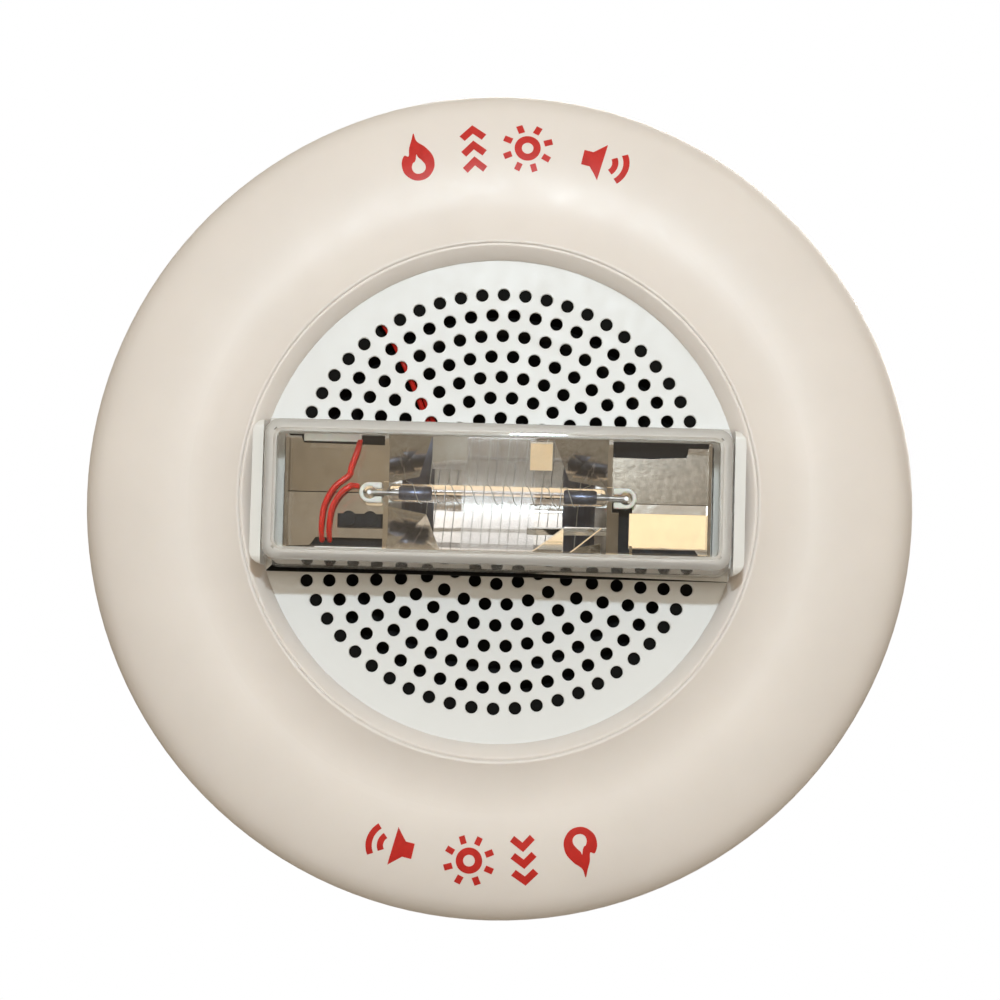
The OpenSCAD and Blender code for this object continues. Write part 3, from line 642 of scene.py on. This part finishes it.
def cut_for_ledge(lens, side):
    """Opens the back of an end wall, where the base's ledge runs out under it."""
    ends = sorted((side * 50.5, side * 62))
    cutter = piece("cutter", *box(ends, (-15.3, 15.3), (20, ledge_z + 2.1), 0.01), "front", mat["lens"])
    cut = lens.modifiers.new("cut", "BOOLEAN")
    cut.operation = "DIFFERENCE"
    cut.object = cutter
    bpy.context.view_layer.objects.active = lens
    bpy.ops.object.modifier_apply(modifier="cut")
    bpy.data.objects.remove(cutter)


LENS_MATERIALS = ("lens", "frosted", "lens_wall", "lens_edge_highlight")


def lens_material(face):
    """Which of LENS_MATERIALS a face has: clear front, frosted seat, side wall or rounded edge with its
    painted highlight.
    """
    facing = abs(face.normal.y)
    if -face.center.y / MM < ledge_z + 0.4 and facing > 0.9:
        return 1
    if facing < 0.25:
        return 2
    return 3 if facing < 0.97 else 0


def build_lens():
    """The clear box over the strobe."""
    outer = lens_loops(0, lens_z, LENS_EDGE)
    inner = lens_loops(LENS_WALL, lens_z - LENS_WALL, 1.2)
    verts, faces = weld([loft(list(reversed(inner)) + outer)])
    lens = piece("lens_shell", verts, faces, "front", mat["lens"])
    for side in (-1, 1):
        cut_for_ledge(lens, side)
    for name in LENS_MATERIALS[1:]:
        lens.data.materials.append(mat[name])
    for face in lens.data.polygons:
        face.material_index = lens_material(face)
    even = lens.modifiers.new("even", "WEIGHTED_NORMAL")
    even.keep_sharp = True
    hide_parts("strobe_lens")


# ---------- reflector ----------

TROUGH_Z = 33.0
FOCAL = 8.0
TROUGH_X = 25.8
TROUGH_OPEN_X = 16.5
NOTCH_HALF = 2.7
SHEET = 0.8


def trough_height(y):
    """Where the trough's curve lies at height y."""
    return TROUGH_Z + y * y / (4 * FOCAL)


def trough():
    """The parabolic mirror behind the tube, as a solid sheet."""
    rows = 28
    ys = [mirror_half_h * (2 * i / rows - 1) for i in range(rows + 1)]
    section = [(y, trough_height(y)) for y in ys]
    back = [(y, z - SHEET) for y, z in reversed(section)]
    stations = (-TROUGH_X, -TROUGH_X / 3, TROUGH_X / 3, TROUGH_X)
    return loft([[at(x, y, z) for y, z in section + back] for x in stations])


def end_wall(side):
    """The wall between the trough and the flat mirror, notched for the tube."""
    stations = (TROUGH_X - 0.2, TROUGH_X + 1.0)
    outlines = []
    for half in (-1, 1):
        ys = [half * (NOTCH_HALF + (mirror_half_h - NOTCH_HALF) * i / 10) for i in range(11)]
        low = [(y, trough_height(y) - 0.7) for y in ys]
        high = [(y, TROUGH_Z + 6.0) for y in reversed(ys)]
        outlines.append(low + high)
    bottom, top = TROUGH_Z - 0.7, tube_z - tube_r - 0.6
    outlines.append([(-NOTCH_HALF, bottom), (NOTCH_HALF, bottom), (NOTCH_HALF, top), (-NOTCH_HALF, top)])
    parts = [loft([[at(side * x, y, z) for y, z in outline] for x in stations]) for outline in outlines]
    return weld(parts)


def facet(points, thick=0.5):
    """A flat mirror through the given points."""
    front = [at(*p) for p in points]
    return loft([[p + at(0, 0, -thick) for p in front], front])


def rib(start, end, wide=0.3, tall=1.4):
    """A thin upright edge from one point to another."""
    a, b = Vector(start), Vector(end)
    across = Vector((a.y - b.y, b.x - a.x, 0)).normalized() * (wide / 2)
    down = Vector((0, 0, -tall))
    loops = [[p - across, p + across, p + across + down, p - across + down] for p in (a, b)]
    return loft([[at(*p) for p in loop] for loop in loops])


def gusset(side, half, inner_x):
    """Flat facets that meet in a crease across a corner of the trough."""
    out, edge = side * TROUGH_X, half * mirror_half_h
    rim_in = (inner_x, edge, 39.1)
    rim_out = (out, edge, 40.6)
    low = (out, half * 2.8, 34.4)
    middle = (0.45 * inner_x + 0.55 * out, half * 8.2, 36.2)
    foot = (0.7 * inner_x + 0.3 * out, half * 4.4, 33.7)
    return [facet(p) for p in ((rim_in, rim_out, middle), (rim_out, low, middle), (rim_in, middle, foot),
                               (middle, low, foot))]


def gussets():
    """Three of the trough's corners have a gusset."""
    parts = []
    for side, half, inner_x in ((-1, 1, -15.7), (1, 1, 12.8), (-1, -1, -13.0)):
        parts += gusset(side, half, inner_x)
    return parts


def trough_plates():
    """Flat plates set across the curve of the trough."""
    return [
        facet([(-15.6, 13.9, 39.4), (-7.4, 13.9, 39.2), (-7.4, 6.2, 34.9), (-15.6, 6.2, 36.2)]),
        facet([(7.4, 12.6, 38.4), (12.6, 12.6, 38.4), (12.6, 6.4, 37.2), (7.4, 6.4, 37.2)]),
        facet([(7.0, -13.9, 37.4), (15.4, -13.9, 37.4), (15.4, -7.4, 38.4)]),
        rib((7.0, -13.9, 38.2), (15.4, -7.4, 39.2)), rib((15.4, -13.9, 38.2), (15.4, -7.4, 39.2)),
        facet([(15.8, -13.9, 36.4), (25.6, -13.9, 36.4), (25.6, -6.6, 34.6), (15.8, -6.6, 34.6)]),
        rib((16.0, -13.9, 38.2), (24.4, -7.0, 39.2)), rib((7.0, -7.2, 36.2), (25.6, -6.8, 36.2)),
    ]


def tilted(outline, z, slope_y, thick=SHEET, slope_x=0.0):
    """A flat mirror whose height changes with x and y."""
    front = [at(x, y, z + slope_y * y + slope_x * x) for x, y in outline]
    back = [p + at(0, 0, -thick) for p in front]
    return loft([back, front])


def right_upper_mirror():
    """The plate at the upper right, beside the trough."""
    outline = [(44.6, 12.4), (44.2, 10.2), (36.0, 9.7), (26.6, 9.9), (26.6, -0.9), (49.2, -0.9),
               (49.2, 12.4)]
    return tilted(outline, mirror_z + 0.9, -0.035, 1.4)


def flat_mirrors():
    """The tilted flat mirrors at both ends, and the upright strips beside them."""
    step = [(49.2, -1.0), (31.6, -1.0), (31.6, -3.2), (49.2, -3.2)]
    right_low = [(49.2, -3.2), (31.0, -3.2), (31.0, -11.5), (46.6, -11.5), (47.6, -13.2), (49.2, -13.2)]
    left_top = [(-26.6, 0.2), (-26.6, 11.4), (-46, 11.6), (-46.6, 13.2), (-49.2, 13.2), (-49.2, 0.2)]
    left_low = [(-26.6, 0.0), (-49.2, 0.0), (-49.2, -12.8), (-44, -12.6), (-42.6, -10.6), (-26.6, -10.6)]
    return [
        tilted(step, mirror_z + 0.3, -0.11), tilted(right_low, mirror_z + 0.1, 0.12),
        tilted(left_top, mirror_z, 0.006, slope_x=-0.006), tilted(left_low, mirror_z, -0.030),
        box((31.1, 31.8), (-13.9, -11.0), (mirror_z - 1.6, mirror_z + 0.3)),
        box((26.0, 28.4), (-13.9, -3.2), (mirror_z - 1.6, mirror_z + 2.2)),
        box((49.2, 50.0), (-13.4, 13.4), (mirror_z - 1.6, mirror_z + 3.0)),
        box((-50.0, -49.2), (-13.4, 13.4), (mirror_z - 1.6, mirror_z + 3.0)),
    ]


def build_carrier():
    """The dark frame that shows through the mirror's cut-outs, with a small two-pin connector."""
    parts = [box(sorted((side * 26.4, side * 50.2)), (-13.9, 13.9), (mirror_z - 2.4, mirror_z - 1.7))
             for side in (-1, 1)]
    parts.append(box((-37.5, -26.9), (-8.2, -4.9), (mirror_z - 1.0, mirror_z + 1.6), 0.3))
    for x in (-34.8, -29.8):
        parts.append(tube([at(x, -6.0, mirror_z), at(x, -6.0, mirror_z + 2.4)], 1.7, 20))
    carrier = piece("reflector_carrier", *weld(parts), "front", mat["dark_frame"])
    by_angle(carrier, 40)
    clips = [box((-46.0, -32.4), (12.0, 13.9), (mirror_z - 1.2, mirror_z + 0.9), 0.3),
             box((-42.8, -26.8), (-13.9, -12.9), (mirror_z - 1.2, mirror_z + 0.9), 0.2),
             box((26.4, 31.0), (-13.9, -13.3), (mirror_z - 1.2, mirror_z + 0.9), 0.2)]
    clip = piece("reflector_clips", *weld(clips), "front", mat["white_gloss"])
    by_angle(clip, 30)


def tube_post(side):
    """The U-shaped post that a tube lead stands in."""
    outer_r, inner_r, slot = 2.4, 1.5, 0.9
    steps = 20
    outer = [(2.9, outer_r)] + [(-outer_r * math.sin(a), outer_r * math.cos(a))
                               for a in (math.pi * i / steps for i in range(steps + 1))]
    outer += [(2.9, -outer_r)]
    start = math.asin(slot / inner_r)
    turned = [start + (2 * math.pi - 2 * start) * i / steps for i in range(steps + 1)]
    inner = [(2.9, -slot)] + [(inner_r * math.cos(a), -inner_r * math.sin(a)) for a in turned]
    inner += [(2.9, slot)]
    outline = [(side * (lead_x - x), y) for x, y in outer + inner]
    z0, z1 = mirror_z - 0.6, mirror_z + 4.4
    return loft([[at(x, y, z) for x, y in outline] for z in (z0, z1)])


def build_reflector():
    """The mirror with its crinkled parts, its carrier and the posts that hold the tube."""
    parts = [trough(), end_wall(-1), end_wall(1)] + flat_mirrors() + trough_plates()
    reflector = piece("reflector_shell", *weld(parts), "front", mat["mirror"])
    reflector.data.materials.append(mat["mirror_trough"])
    for face in reflector.data.polygons:
        if abs(face.center.x) < TROUGH_OPEN_X * MM:
            face.material_index = 1
    crinkled = piece("reflector_corners", *weld(gussets() + [right_upper_mirror()]), "front",
                     mat["mirror_crinkled"])
    for part in (reflector, crinkled):
        by_angle(part, 30)
    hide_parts("reflector")
    build_carrier()
    posts = piece("tube_posts", *weld([tube_post(-1), tube_post(1)]), "front", mat["white_gloss"])
    by_angle(posts, 30)
    round_edges(posts, 0.35, segments=3, angle=40)


# ---------- flash tube ----------

def revolve_x(profile, segments=48):
    """Turns (x, radius) points about the tube's axis."""
    loops = []
    for x, r in profile:
        loops.append([at(x, r * math.cos(a), tube_z + r * math.sin(a))
                      for a in (2 * math.pi * k / segments for k in range(segments))])
    return loops


def round_ended(r, end):
    """The profile of a rod of radius r with round ends at -end and end, left open round its axis."""
    quarter = [math.radians(9 * i) for i in range(10)]
    right = [(end - r * (1 - math.sin(a)), max(r * math.cos(a) + 0.02, 0.55)) for a in quarter]
    return [(-x, y) for x, y in reversed(right)] + right


def build_glass():
    """The quartz tube and the hollow inside it."""
    outside = loft(revolve_x(round_ended(tube_r, tube_half)))
    glass = piece("flash_tube_glass", *outside, "front", mat["quartz"])
    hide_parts("flash_tube")
    hollow = loft(revolve_x(round_ended(1.5, tube_half - 3.2)))
    bore = piece("flash_tube_bore", *hollow, "front", mat["bore"])


def build_electrodes():
    """A rod in each end of the tube, and the lead that bends down from it."""
    metal, rods = [], []
    for side in (-1, 1):
        rods.append(loft(revolve_x([(side * 15.4, 0.05), (side * 15.4, 0.9), (side * 15.8, 1.15),
                                    (side * 22.6, 1.15), (side * 23.1, 0.9), (side * 23.1, 0.3)], 24)))
        metal.append(loft(revolve_x([(side * 22.8, 0.45), (side * lead_x, 0.45)], 24)))
        down = [at(side * lead_x, 0, z) for z in (tube_z + 0.6, 36, 28)]
        metal.append(tube(down, 0.5))
    electrodes = piece("electrodes", *weld(metal), "front", mat["plain_steel"])
    inside = piece("electrode_rods", *weld(rods), "front", mat["electrode"])
    for part in (electrodes, inside):
        by_angle(part, 40)
    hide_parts("tube_electrodes")


TRIGGER_R = 0.1
LEAD_R = 0.65


def build_trigger_wire():
    """A fine wire wound round the tube."""
    turns, pitch, r = 9, 4.5, tube_r + 0.16
    steps = 28
    path = []
    for i in range(turns * steps + 1):
        a = 2 * math.pi * i / steps
        path.append(at(-turns * pitch / 2 + pitch * i / steps, r * math.cos(a), tube_z + r * math.sin(a)))
    start, end = path[0], path[-1]
    path = [start + at(-1.5, 1.0, -6)] + path + [end + at(1.5, 1.0, -6)]
    wire = piece("trigger_coil", *tube(path, TRIGGER_R, 8), "front", mat["steel"])
    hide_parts("trigger_wire")


def build_red_leads():
    """The same routes as the CAD leads, rounder."""
    routes = [
        [(-33.2, 12.4, 28), (-33.2, 12.4, 33), (-32.8, 12.2, 37), (-33.4, 9.5, 38.6), (-34.6, 6, 38.6),
         (-35.2, 4, 38.4), (-38.4, 1.2, 38.8), (-40.6, -3, 38.6), (-41.2, -7.4, 38.2), (-41.2, -10.6, 36.4),
         (-41.2, -11.4, 33), (-41.2, -11.4, 28)],
        [(-32.9, 1.6, 37.4), (-34.6, 1.5, 38.8), (-37, -0.4, 39), (-38.8, -3.6, 38.8), (-39.4, -7.4, 38.2),
         (-39.4, -10.6, 36.4), (-39.4, -11.4, 33), (-39.4, -11.4, 28)],
    ]
    parts = [tube(smooth_path([at(*p) for p in route], 8), LEAD_R) for route in routes]
    leads = piece("trigger_leads_round", *weld(parts), "front", mat["red_wire"])
    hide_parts("trigger_leads")


# ---------- moving speaker parts ----------

SECTORS = 24
TINSEL_R = 0.35
FLANGE_Z = span("speaker_frame")[2][1]


def lathe_sectors(name, profile, material):
    """Sectors of a ring about the speaker's axis. Each runs along its radius, cone to front."""
    steps = 5
    for k in range(SECTORS):
        angles = [2 * math.pi * (k + i / steps) / SECTORS for i in range(steps + 1)]
        loops = [[at(r * math.cos(a), r * math.sin(a), z) for r, z in profile] for a in angles]
        part = piece(f"{name}_{k:02d}", *loft(loops, False, False), None, mat[material])
        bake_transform(part)
        if k == 0:
            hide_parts(name)


def sheet(line, thick):
    """A closed profile of even thickness on a line of (radius, height) points."""
    return [(r, z + thick / 2) for r, z in line] + [(r, z - thick / 2) for r, z in reversed(line)]


def build_surround():
    """The half roll between the cone and the frame's flange."""
    middle, roll = 42.6, 2.7
    half_roll = [(middle - roll * math.cos(a), FLANGE_Z + roll * math.sin(a))
                 for a in (math.pi * i / 16 for i in range(17))]
    line = [(37.2, FLANGE_Z - 0.5), (39.4, FLANGE_Z - 0.3)] + half_roll[1:-1] + [(45.6, FLANGE_Z + 0.2),
                                                                              (47.4, FLANGE_Z + 0.2)]
    lathe_sectors("surround", sheet(line, 0.4), "surround")


def build_spider():
    """The corrugated cloth that centres the voice coil."""
    line = [(12.7 + i * 0.24, -5.1 + 0.8 * math.cos(math.radians(i * 36))) for i in range(61)]
    line += [(27.6, -5.8), (30.6, -5.75)]
    lathe_sectors("spider", sheet(line, 0.4), "cloth")


def build_tinsel():
    """Two braided leads from the cone to the terminals at its top."""
    for k, side in enumerate((-1, 1)):
        route = [(side * 5, 26, 6), (side * 5, 29, 3.5), (side * 5, 33.5, 3), (side * 5, 36.6, 5),
                 (side * 5, 38, 7.6), (side * 5, 38.5, 9.8)]
        braid = tube(smooth_path([at(*p) for p in route], 6), TINSEL_R, 12)
        part = piece(f"tinsel_lead_{k}", *braid, None, mat["copper"])
        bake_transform(part)
        if k == 0:
            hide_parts("tinsel_leads")


# ---------- printed marks ----------

MARK_R = 86.5
STROKE = 1.75
MARK_ANGLES = (-14.9, -5.5, 3.2, 15.4)
MARK_PROUD = 0.05
MARK_COLUMNS = 8


def bezel_surface():
    """A function for the bezel's height at (x, y)."""
    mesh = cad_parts["bezel"].data
    tree = BVHTree.FromPolygons([v.co for v in mesh.vertices], [p.vertices for p in mesh.polygons])

    def height(x, y):
        hit = tree.ray_cast(at(x, y, 80), Vector((0, 1, 0)))[0]
        return -hit.y / MM
    return height


def ribbon(points, closed=False, width=STROKE):
    """Left and right edges of a stroke along points, with mitred joints."""
    n = len(points)
    left, right = [], []
    for i, p in enumerate(points):
        before = points[(i - 1) % n] if closed or i else p
        after = points[(i + 1) % n] if closed or i < n - 1 else p
        d0 = Vector((p[0] - before[0], p[1] - before[1]))
        d1 = Vector((after[0] - p[0], after[1] - p[1]))
        d0 = (d0 if d0.length else d1).normalized()
        d1 = (d1 if d1.length else d0).normalized()
        mid = (d0 + d1).normalized()
        normal = Vector((-mid.y, mid.x))
        reach = width / 2 / max(0.45, normal.dot(Vector((-d1.y, d1.x))))
        left.append((p[0] + normal.x * reach, p[1] + normal.y * reach))
        right.append((p[0] - normal.x * reach, p[1] - normal.y * reach))
    return left, right


def curve(points, closed=False, per=8):
    """Smooth stroke through a few points."""
    pts = [Vector((x, y, 0)) for x, y in points]
    if closed:
        n = len(pts)
        wide = smooth_path(pts[-2:] + pts + pts[:2], per)
        return [(p.x, p.y) for p in wide[2 * per:(2 + n) * per]]
    return [(p.x, p.y) for p in smooth_path(pts, per)]


def stroke(points, closed=False, width=STROKE):
    """A line of even width, as its left and right edges."""
    left, right = ribbon(points, closed, width)
    if closed:
        left, right = left + left[:1], right + right[:1]
    return left, right


def flame():
    """A filled flame with a drop-shaped gap in it."""
    outer = curve([(0.6, 6.2), (0.9, 4.0), (2.6, 2.0), (4.0, -0.6), (3.9, -3.4), (2.2, -5.5), (0, -6.1),
                   (-2.2, -5.5), (-3.9, -3.4), (-3.9, -0.8), (-2.8, 1.0), (-1.8, 0.6), (-1.2, 2.6),
                   (-0.2, 4.6)], closed=True)
    inner = curve([(0.2, 0.6), (0.4, -0.2), (1.1, -1.2), (1.7, -2.4), (1.6, -3.5), (0.9, -4.2), (0, -4.4),
                   (-0.9, -4.2), (-1.6, -3.5), (-1.7, -2.4), (-1.2, -1.4), (-0.7, -1.2), (-0.3, -0.6),
                   (0, 0.2)], closed=True)
    return [(outer + outer[:1], inner + inner[:1])]


def chevrons():
    """Three chevrons, one above the other."""
    return [stroke([(-2.6, y - 1.6), (0, y + 0.6), (2.6, y - 1.6)]) for y in (-3.9, 0.2, 4.3)]


def circle_arc(cx, r, start, end, steps):
    """Points from one angle to another, in degrees, about (cx, 0)."""
    return [(cx + r * math.cos(a), r * math.sin(a))
            for a in (math.radians(start + (end - start) * i / steps) for i in range(steps + 1))]


def burst():
    """A ring with eight rays."""
    shapes = [stroke(circle_arc(0, 2.3, 0, 360, 32)[:-1], closed=True)]
    for i in range(8):
        a = 2 * math.pi * (i + 0.5) / 8
        shapes.append(stroke([(r * math.cos(a), r * math.sin(a)) for r in (4.2, 5.2, 6.2)], width=1.5))
    return shapes


def sounder():
    """A loudspeaker with two waves."""
    upper = [(-4.8, 1.9), (-2.6, 1.9), (-1.2, 3.3), (0.2, 4.8)]
    lower = [(x, -y) for x, y in upper]
    return [(upper, lower), stroke(circle_arc(0.4, 2.9, -40, 40, 10), width=1.5),
            stroke(circle_arc(0.4, 5.6, -40, 40, 14), width=1.5)]


def build_marks():
    """Four marks above the grille, and the same four below it, turned half round."""
    height = bezel_surface()
    parts = []

    def place(point, angle, turn):
        """From a mark's own plane to the bezel, upright above the middle and turned over below."""
        a = math.radians(90 - angle) - point[0] / MARK_R
        r = MARK_R + point[1]
        x, y = turn * r * math.cos(a), turn * r * math.sin(a)
        return x, y, height(x, y)

    def between(a, b, t):
        return (a[0] + (b[0] - a[0]) * t, a[1] + (b[1] - a[1]) * t)

    for turn in (1, -1):
        for angle, shape in zip(MARK_ANGLES, (flame, chevrons, burst, sounder)):
            for left, right in shape():
                loops = []
                for a, b in zip(left, right):
                    row = [place(between(a, b, i / MARK_COLUMNS), angle, turn)
                           for i in range(MARK_COLUMNS + 1)]
                    loops.append([at(x, y, z + MARK_PROUD) for x, y, z in row]
                                 + [at(x, y, z - MARK_PROUD) for x, y, z in reversed(row)])
                closed = left[0] == left[-1]
                parts.append(loft(loops, not closed, not closed))
    marks = piece("printed_marks", *weld(parts), "front", mat["ink"], smooth=False)


# ---------- floor, light and camera ----------

FLOOR_DROP = 0.08
FLOOR_RINGS = (0.15, 0.3, 0.5)


def floor_mesh(level, sides=64):
    """A round floor, centred under the object."""
    mesh = bpy.data.meshes.new("floor")
    verts, faces = [(0, 0, level)], []
    for r in FLOOR_RINGS:
        verts += [(r * math.cos(a), r * math.sin(a), level)
                  for a in (2 * math.pi * k / sides for k in range(sides))]
    for k in range(sides):
        faces.append((0, 1 + k, 1 + (k + 1) % sides))
    for i in range(len(FLOOR_RINGS) - 1):
        for k in range(sides):
            a, b = 1 + i * sides, 1 + (i + 1) * sides
            faces.append((a + k, b + k, b + (k + 1) % sides, a + (k + 1) % sides))
    mesh.from_pydata(verts, [], faces)
    return mesh


def floor_material():
    """Pale, fading to the white of the studio. Mirrors and bounced light meet a darker floor."""
    s = Surface("floor_white", rgb(214, 214, 214), 0.7)
    camera_ray = s.add("ShaderNodeLightPath").outputs["Is Camera Ray"]
    s.link(s.ramp(camera_ray, [(0.0, rgb(158, 152, 143)), (1.0, s.color)]), s.bsdf.inputs["Base Color"])
    glow = s.add("ShaderNodeEmission")
    glow.inputs["Color"].default_value = (1, 1, 1, 1)
    glow.inputs["Strength"].default_value = 1.0
    length = s.add("ShaderNodeVectorMath", operation="LENGTH")
    s.link(s.coords, length.inputs[0])
    far = s.mapped(length.outputs["Value"], (0.10, 0.45), interpolation_type="SMOOTHSTEP")
    seen = s.add("ShaderNodeMath", operation="MULTIPLY")
    s.link(far, seen.inputs[0])
    s.link(camera_ray, seen.inputs[1])
    mix = s.add("ShaderNodeMixShader")
    s.link(seen.outputs[0], mix.inputs[0])
    s.link(s.bsdf.outputs[0], mix.inputs[1])
    s.link(glow.outputs[0], mix.inputs[2])
    s.link(mix.outputs[0], s.out.inputs["Surface"])
    return s.material


def build_floor():
    """The floor lies FLOOR_DROP metres under the lowest point."""
    mesh = floor_mesh(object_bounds()[0].z - FLOOR_DROP)
    mesh.materials.append(floor_material())
    floor = bpy.data.objects.new("floor", mesh)
    bpy.context.collection.objects.link(floor)


SKY_LIGHT = 0.42
ROOM_LIGHT = 1.0
SKY = [(0.0, rgb(92, 84, 74)), (0.40, rgb(128, 119, 106)), (0.52, rgb(234, 220, 196)),
       (0.62, rgb(252, 237, 212)), (1.0, rgb(255, 243, 220))]
ROOM = [(0.30, rgb(228, 198, 154)), (0.44, rgb(246, 216, 170)), (0.475, rgb(180, 156, 122)),
        (0.50, rgb(88, 78, 66)), (0.53, rgb(118, 106, 90)), (0.56, rgb(172, 160, 144)),
        (0.60, rgb(142, 130, 116)), (0.64, rgb(206, 196, 184)), (0.70, rgb(242, 238, 232)),
        (0.85, rgb(255, 252, 248))]
ROOM_ACROSS = [(0.36, rgb(205, 190, 168)), (0.44, rgb(120, 108, 90)), (0.49, rgb(178, 160, 136)),
               (0.56, rgb(96, 86, 74)), (0.62, rgb(214, 200, 182))]
ROOM_PATCHES = [(0.45, (0, 0, 0, 1)), (0.58, (0.75, 0.75, 0.75, 1))]
ROOM_EDGE = [(0.025, (1, 1, 1, 1)), (0.09, (0, 0, 0, 1))]


def build_world():
    """A white studio, with a warm, darker room round the camera that the mirrors look into."""
    world = bpy.data.worlds.new("studio")
    bpy.context.scene.world = world
    world.use_nodes = True
    w = Nodes(world.node_tree)
    coords = w.add("ShaderNodeTexCoord").outputs["Generated"]
    axes = w.add("ShaderNodeSeparateXYZ")
    w.link(coords, axes.inputs[0])
    up, across, forward = (w.mapped(axes.outputs[axis], (-1, 1)) for axis in "ZXY")
    grain = w.add("ShaderNodeTexNoise")
    grain.inputs["Scale"].default_value = 7.0
    w.link(coords, grain.inputs["Vector"])
    patches = w.ramp(grain.outputs["Fac"], ROOM_PATCHES)
    room = w.mixed(patches, w.ramp(up, ROOM), w.ramp(across, ROOM_ACROSS))
    where = w.ramp(forward, ROOM_EDGE)
    light = w.add("ShaderNodeBackground")
    w.link(w.mapped(where, (0, 1), (SKY_LIGHT, ROOM_LIGHT)), light.inputs["Strength"])
    w.link(w.mixed(where, w.ramp(up, SKY), room), light.inputs["Color"])
    # Seen directly, the studio is plain white
    backdrop = w.add("ShaderNodeBackground")
    backdrop.inputs["Color"].default_value = (1, 1, 1, 1)
    seen = w.add("ShaderNodeLightPath")
    both = w.add("ShaderNodeMixShader")
    w.link(seen.outputs["Is Camera Ray"], both.inputs[0])
    w.link(light.outputs[0], both.inputs[1])
    w.link(backdrop.outputs[0], both.inputs[2])
    out = w.add("ShaderNodeOutputWorld")
    w.link(both.outputs[0], out.inputs["Surface"])


LIGHT_AIM = Vector((0, -0.02, 0))


def area_light(name, place, size, power, color=(1, 1, 1)):
    """A rectangular lamp aimed at LIGHT_AIM."""
    data = bpy.data.lights.new(name, "AREA")
    data.shape = "RECTANGLE"
    data.size, data.size_y = size
    data.energy = power
    data.color = color
    light = bpy.data.objects.new(name, data)
    light.location = place
    light.rotation_euler = (LIGHT_AIM - Vector(place)).to_track_quat("-Z", "Y").to_euler()
    bpy.context.collection.objects.link(light)


def build_lights():
    """A small key, three strips for the mirrors, a fill on each side and a lamp behind."""
    area_light("key", (0.01, -0.85, 0.228), (0.035, 0.025), 3.15, (0.80, 0.92, 1.0))
    area_light("low_strip", (0.0, -0.74, -0.10), (0.60, 0.18), 0.31, (1.0, 0.80, 0.56))
    area_light("middle_strip", (0.0, -0.80, 0.46), (0.10, 0.40), 0.16)
    area_light("high_strip", (0.0, -0.45, 0.80), (0.10, 0.45), 0.16)
    area_light("fill_left", (-1.3, -0.9, 0.4), (0.8, 1.0), 1.5, (1.0, 0.90, 0.78))
    area_light("fill_right", (1.3, -0.9, 0.4), (0.8, 1.0), 1.85, (1.0, 0.90, 0.78))
    area_light("back", (0.5, 1.5, 0.7), (1.4, 1.0), 22)


CAMERA_TARGET = Vector((0.0002, -0.0076, 0.0012))
CAMERA_LENS = 94.9
CAMERA_SENSOR = 36
CAMERA_DISTANCE = 0.65
CAMERA_DROP = math.radians(3.8)
CAMERA_TURN = math.radians(0.6)
CAMERA_ROLL = math.radians(1.5)


def build_camera():
    """Looks straight on from a little below, turned slightly about its own axis."""
    level = math.cos(CAMERA_DROP)
    back = Vector((math.sin(CAMERA_TURN) * level, -math.cos(CAMERA_TURN) * level, -math.sin(CAMERA_DROP)))
    data = bpy.data.cameras.new("camera")
    data.sensor_width = CAMERA_SENSOR
    data.lens = CAMERA_LENS
    camera = bpy.data.objects.new("camera", data)
    bpy.context.collection.objects.link(camera)
    camera.location = CAMERA_TARGET + back * CAMERA_DISTANCE
    aim = (-back).to_track_quat("-Z", "Y").to_matrix().to_4x4()
    roll = Matrix.Rotation(CAMERA_ROLL, 4, "Z")
    camera.matrix_world = Matrix.Translation(camera.location) @ aim @ roll
    bpy.context.scene.camera = camera


build_camera()
finish_cad()
build_lens()
build_reflector()
build_glass()
build_electrodes()
build_trigger_wire()
build_red_leads()
build_surround()
build_spider()
build_tinsel()
build_marks()
build_floor()
build_world()
build_lights()
bpy.context.scene.view_settings.view_transform = "Standard"
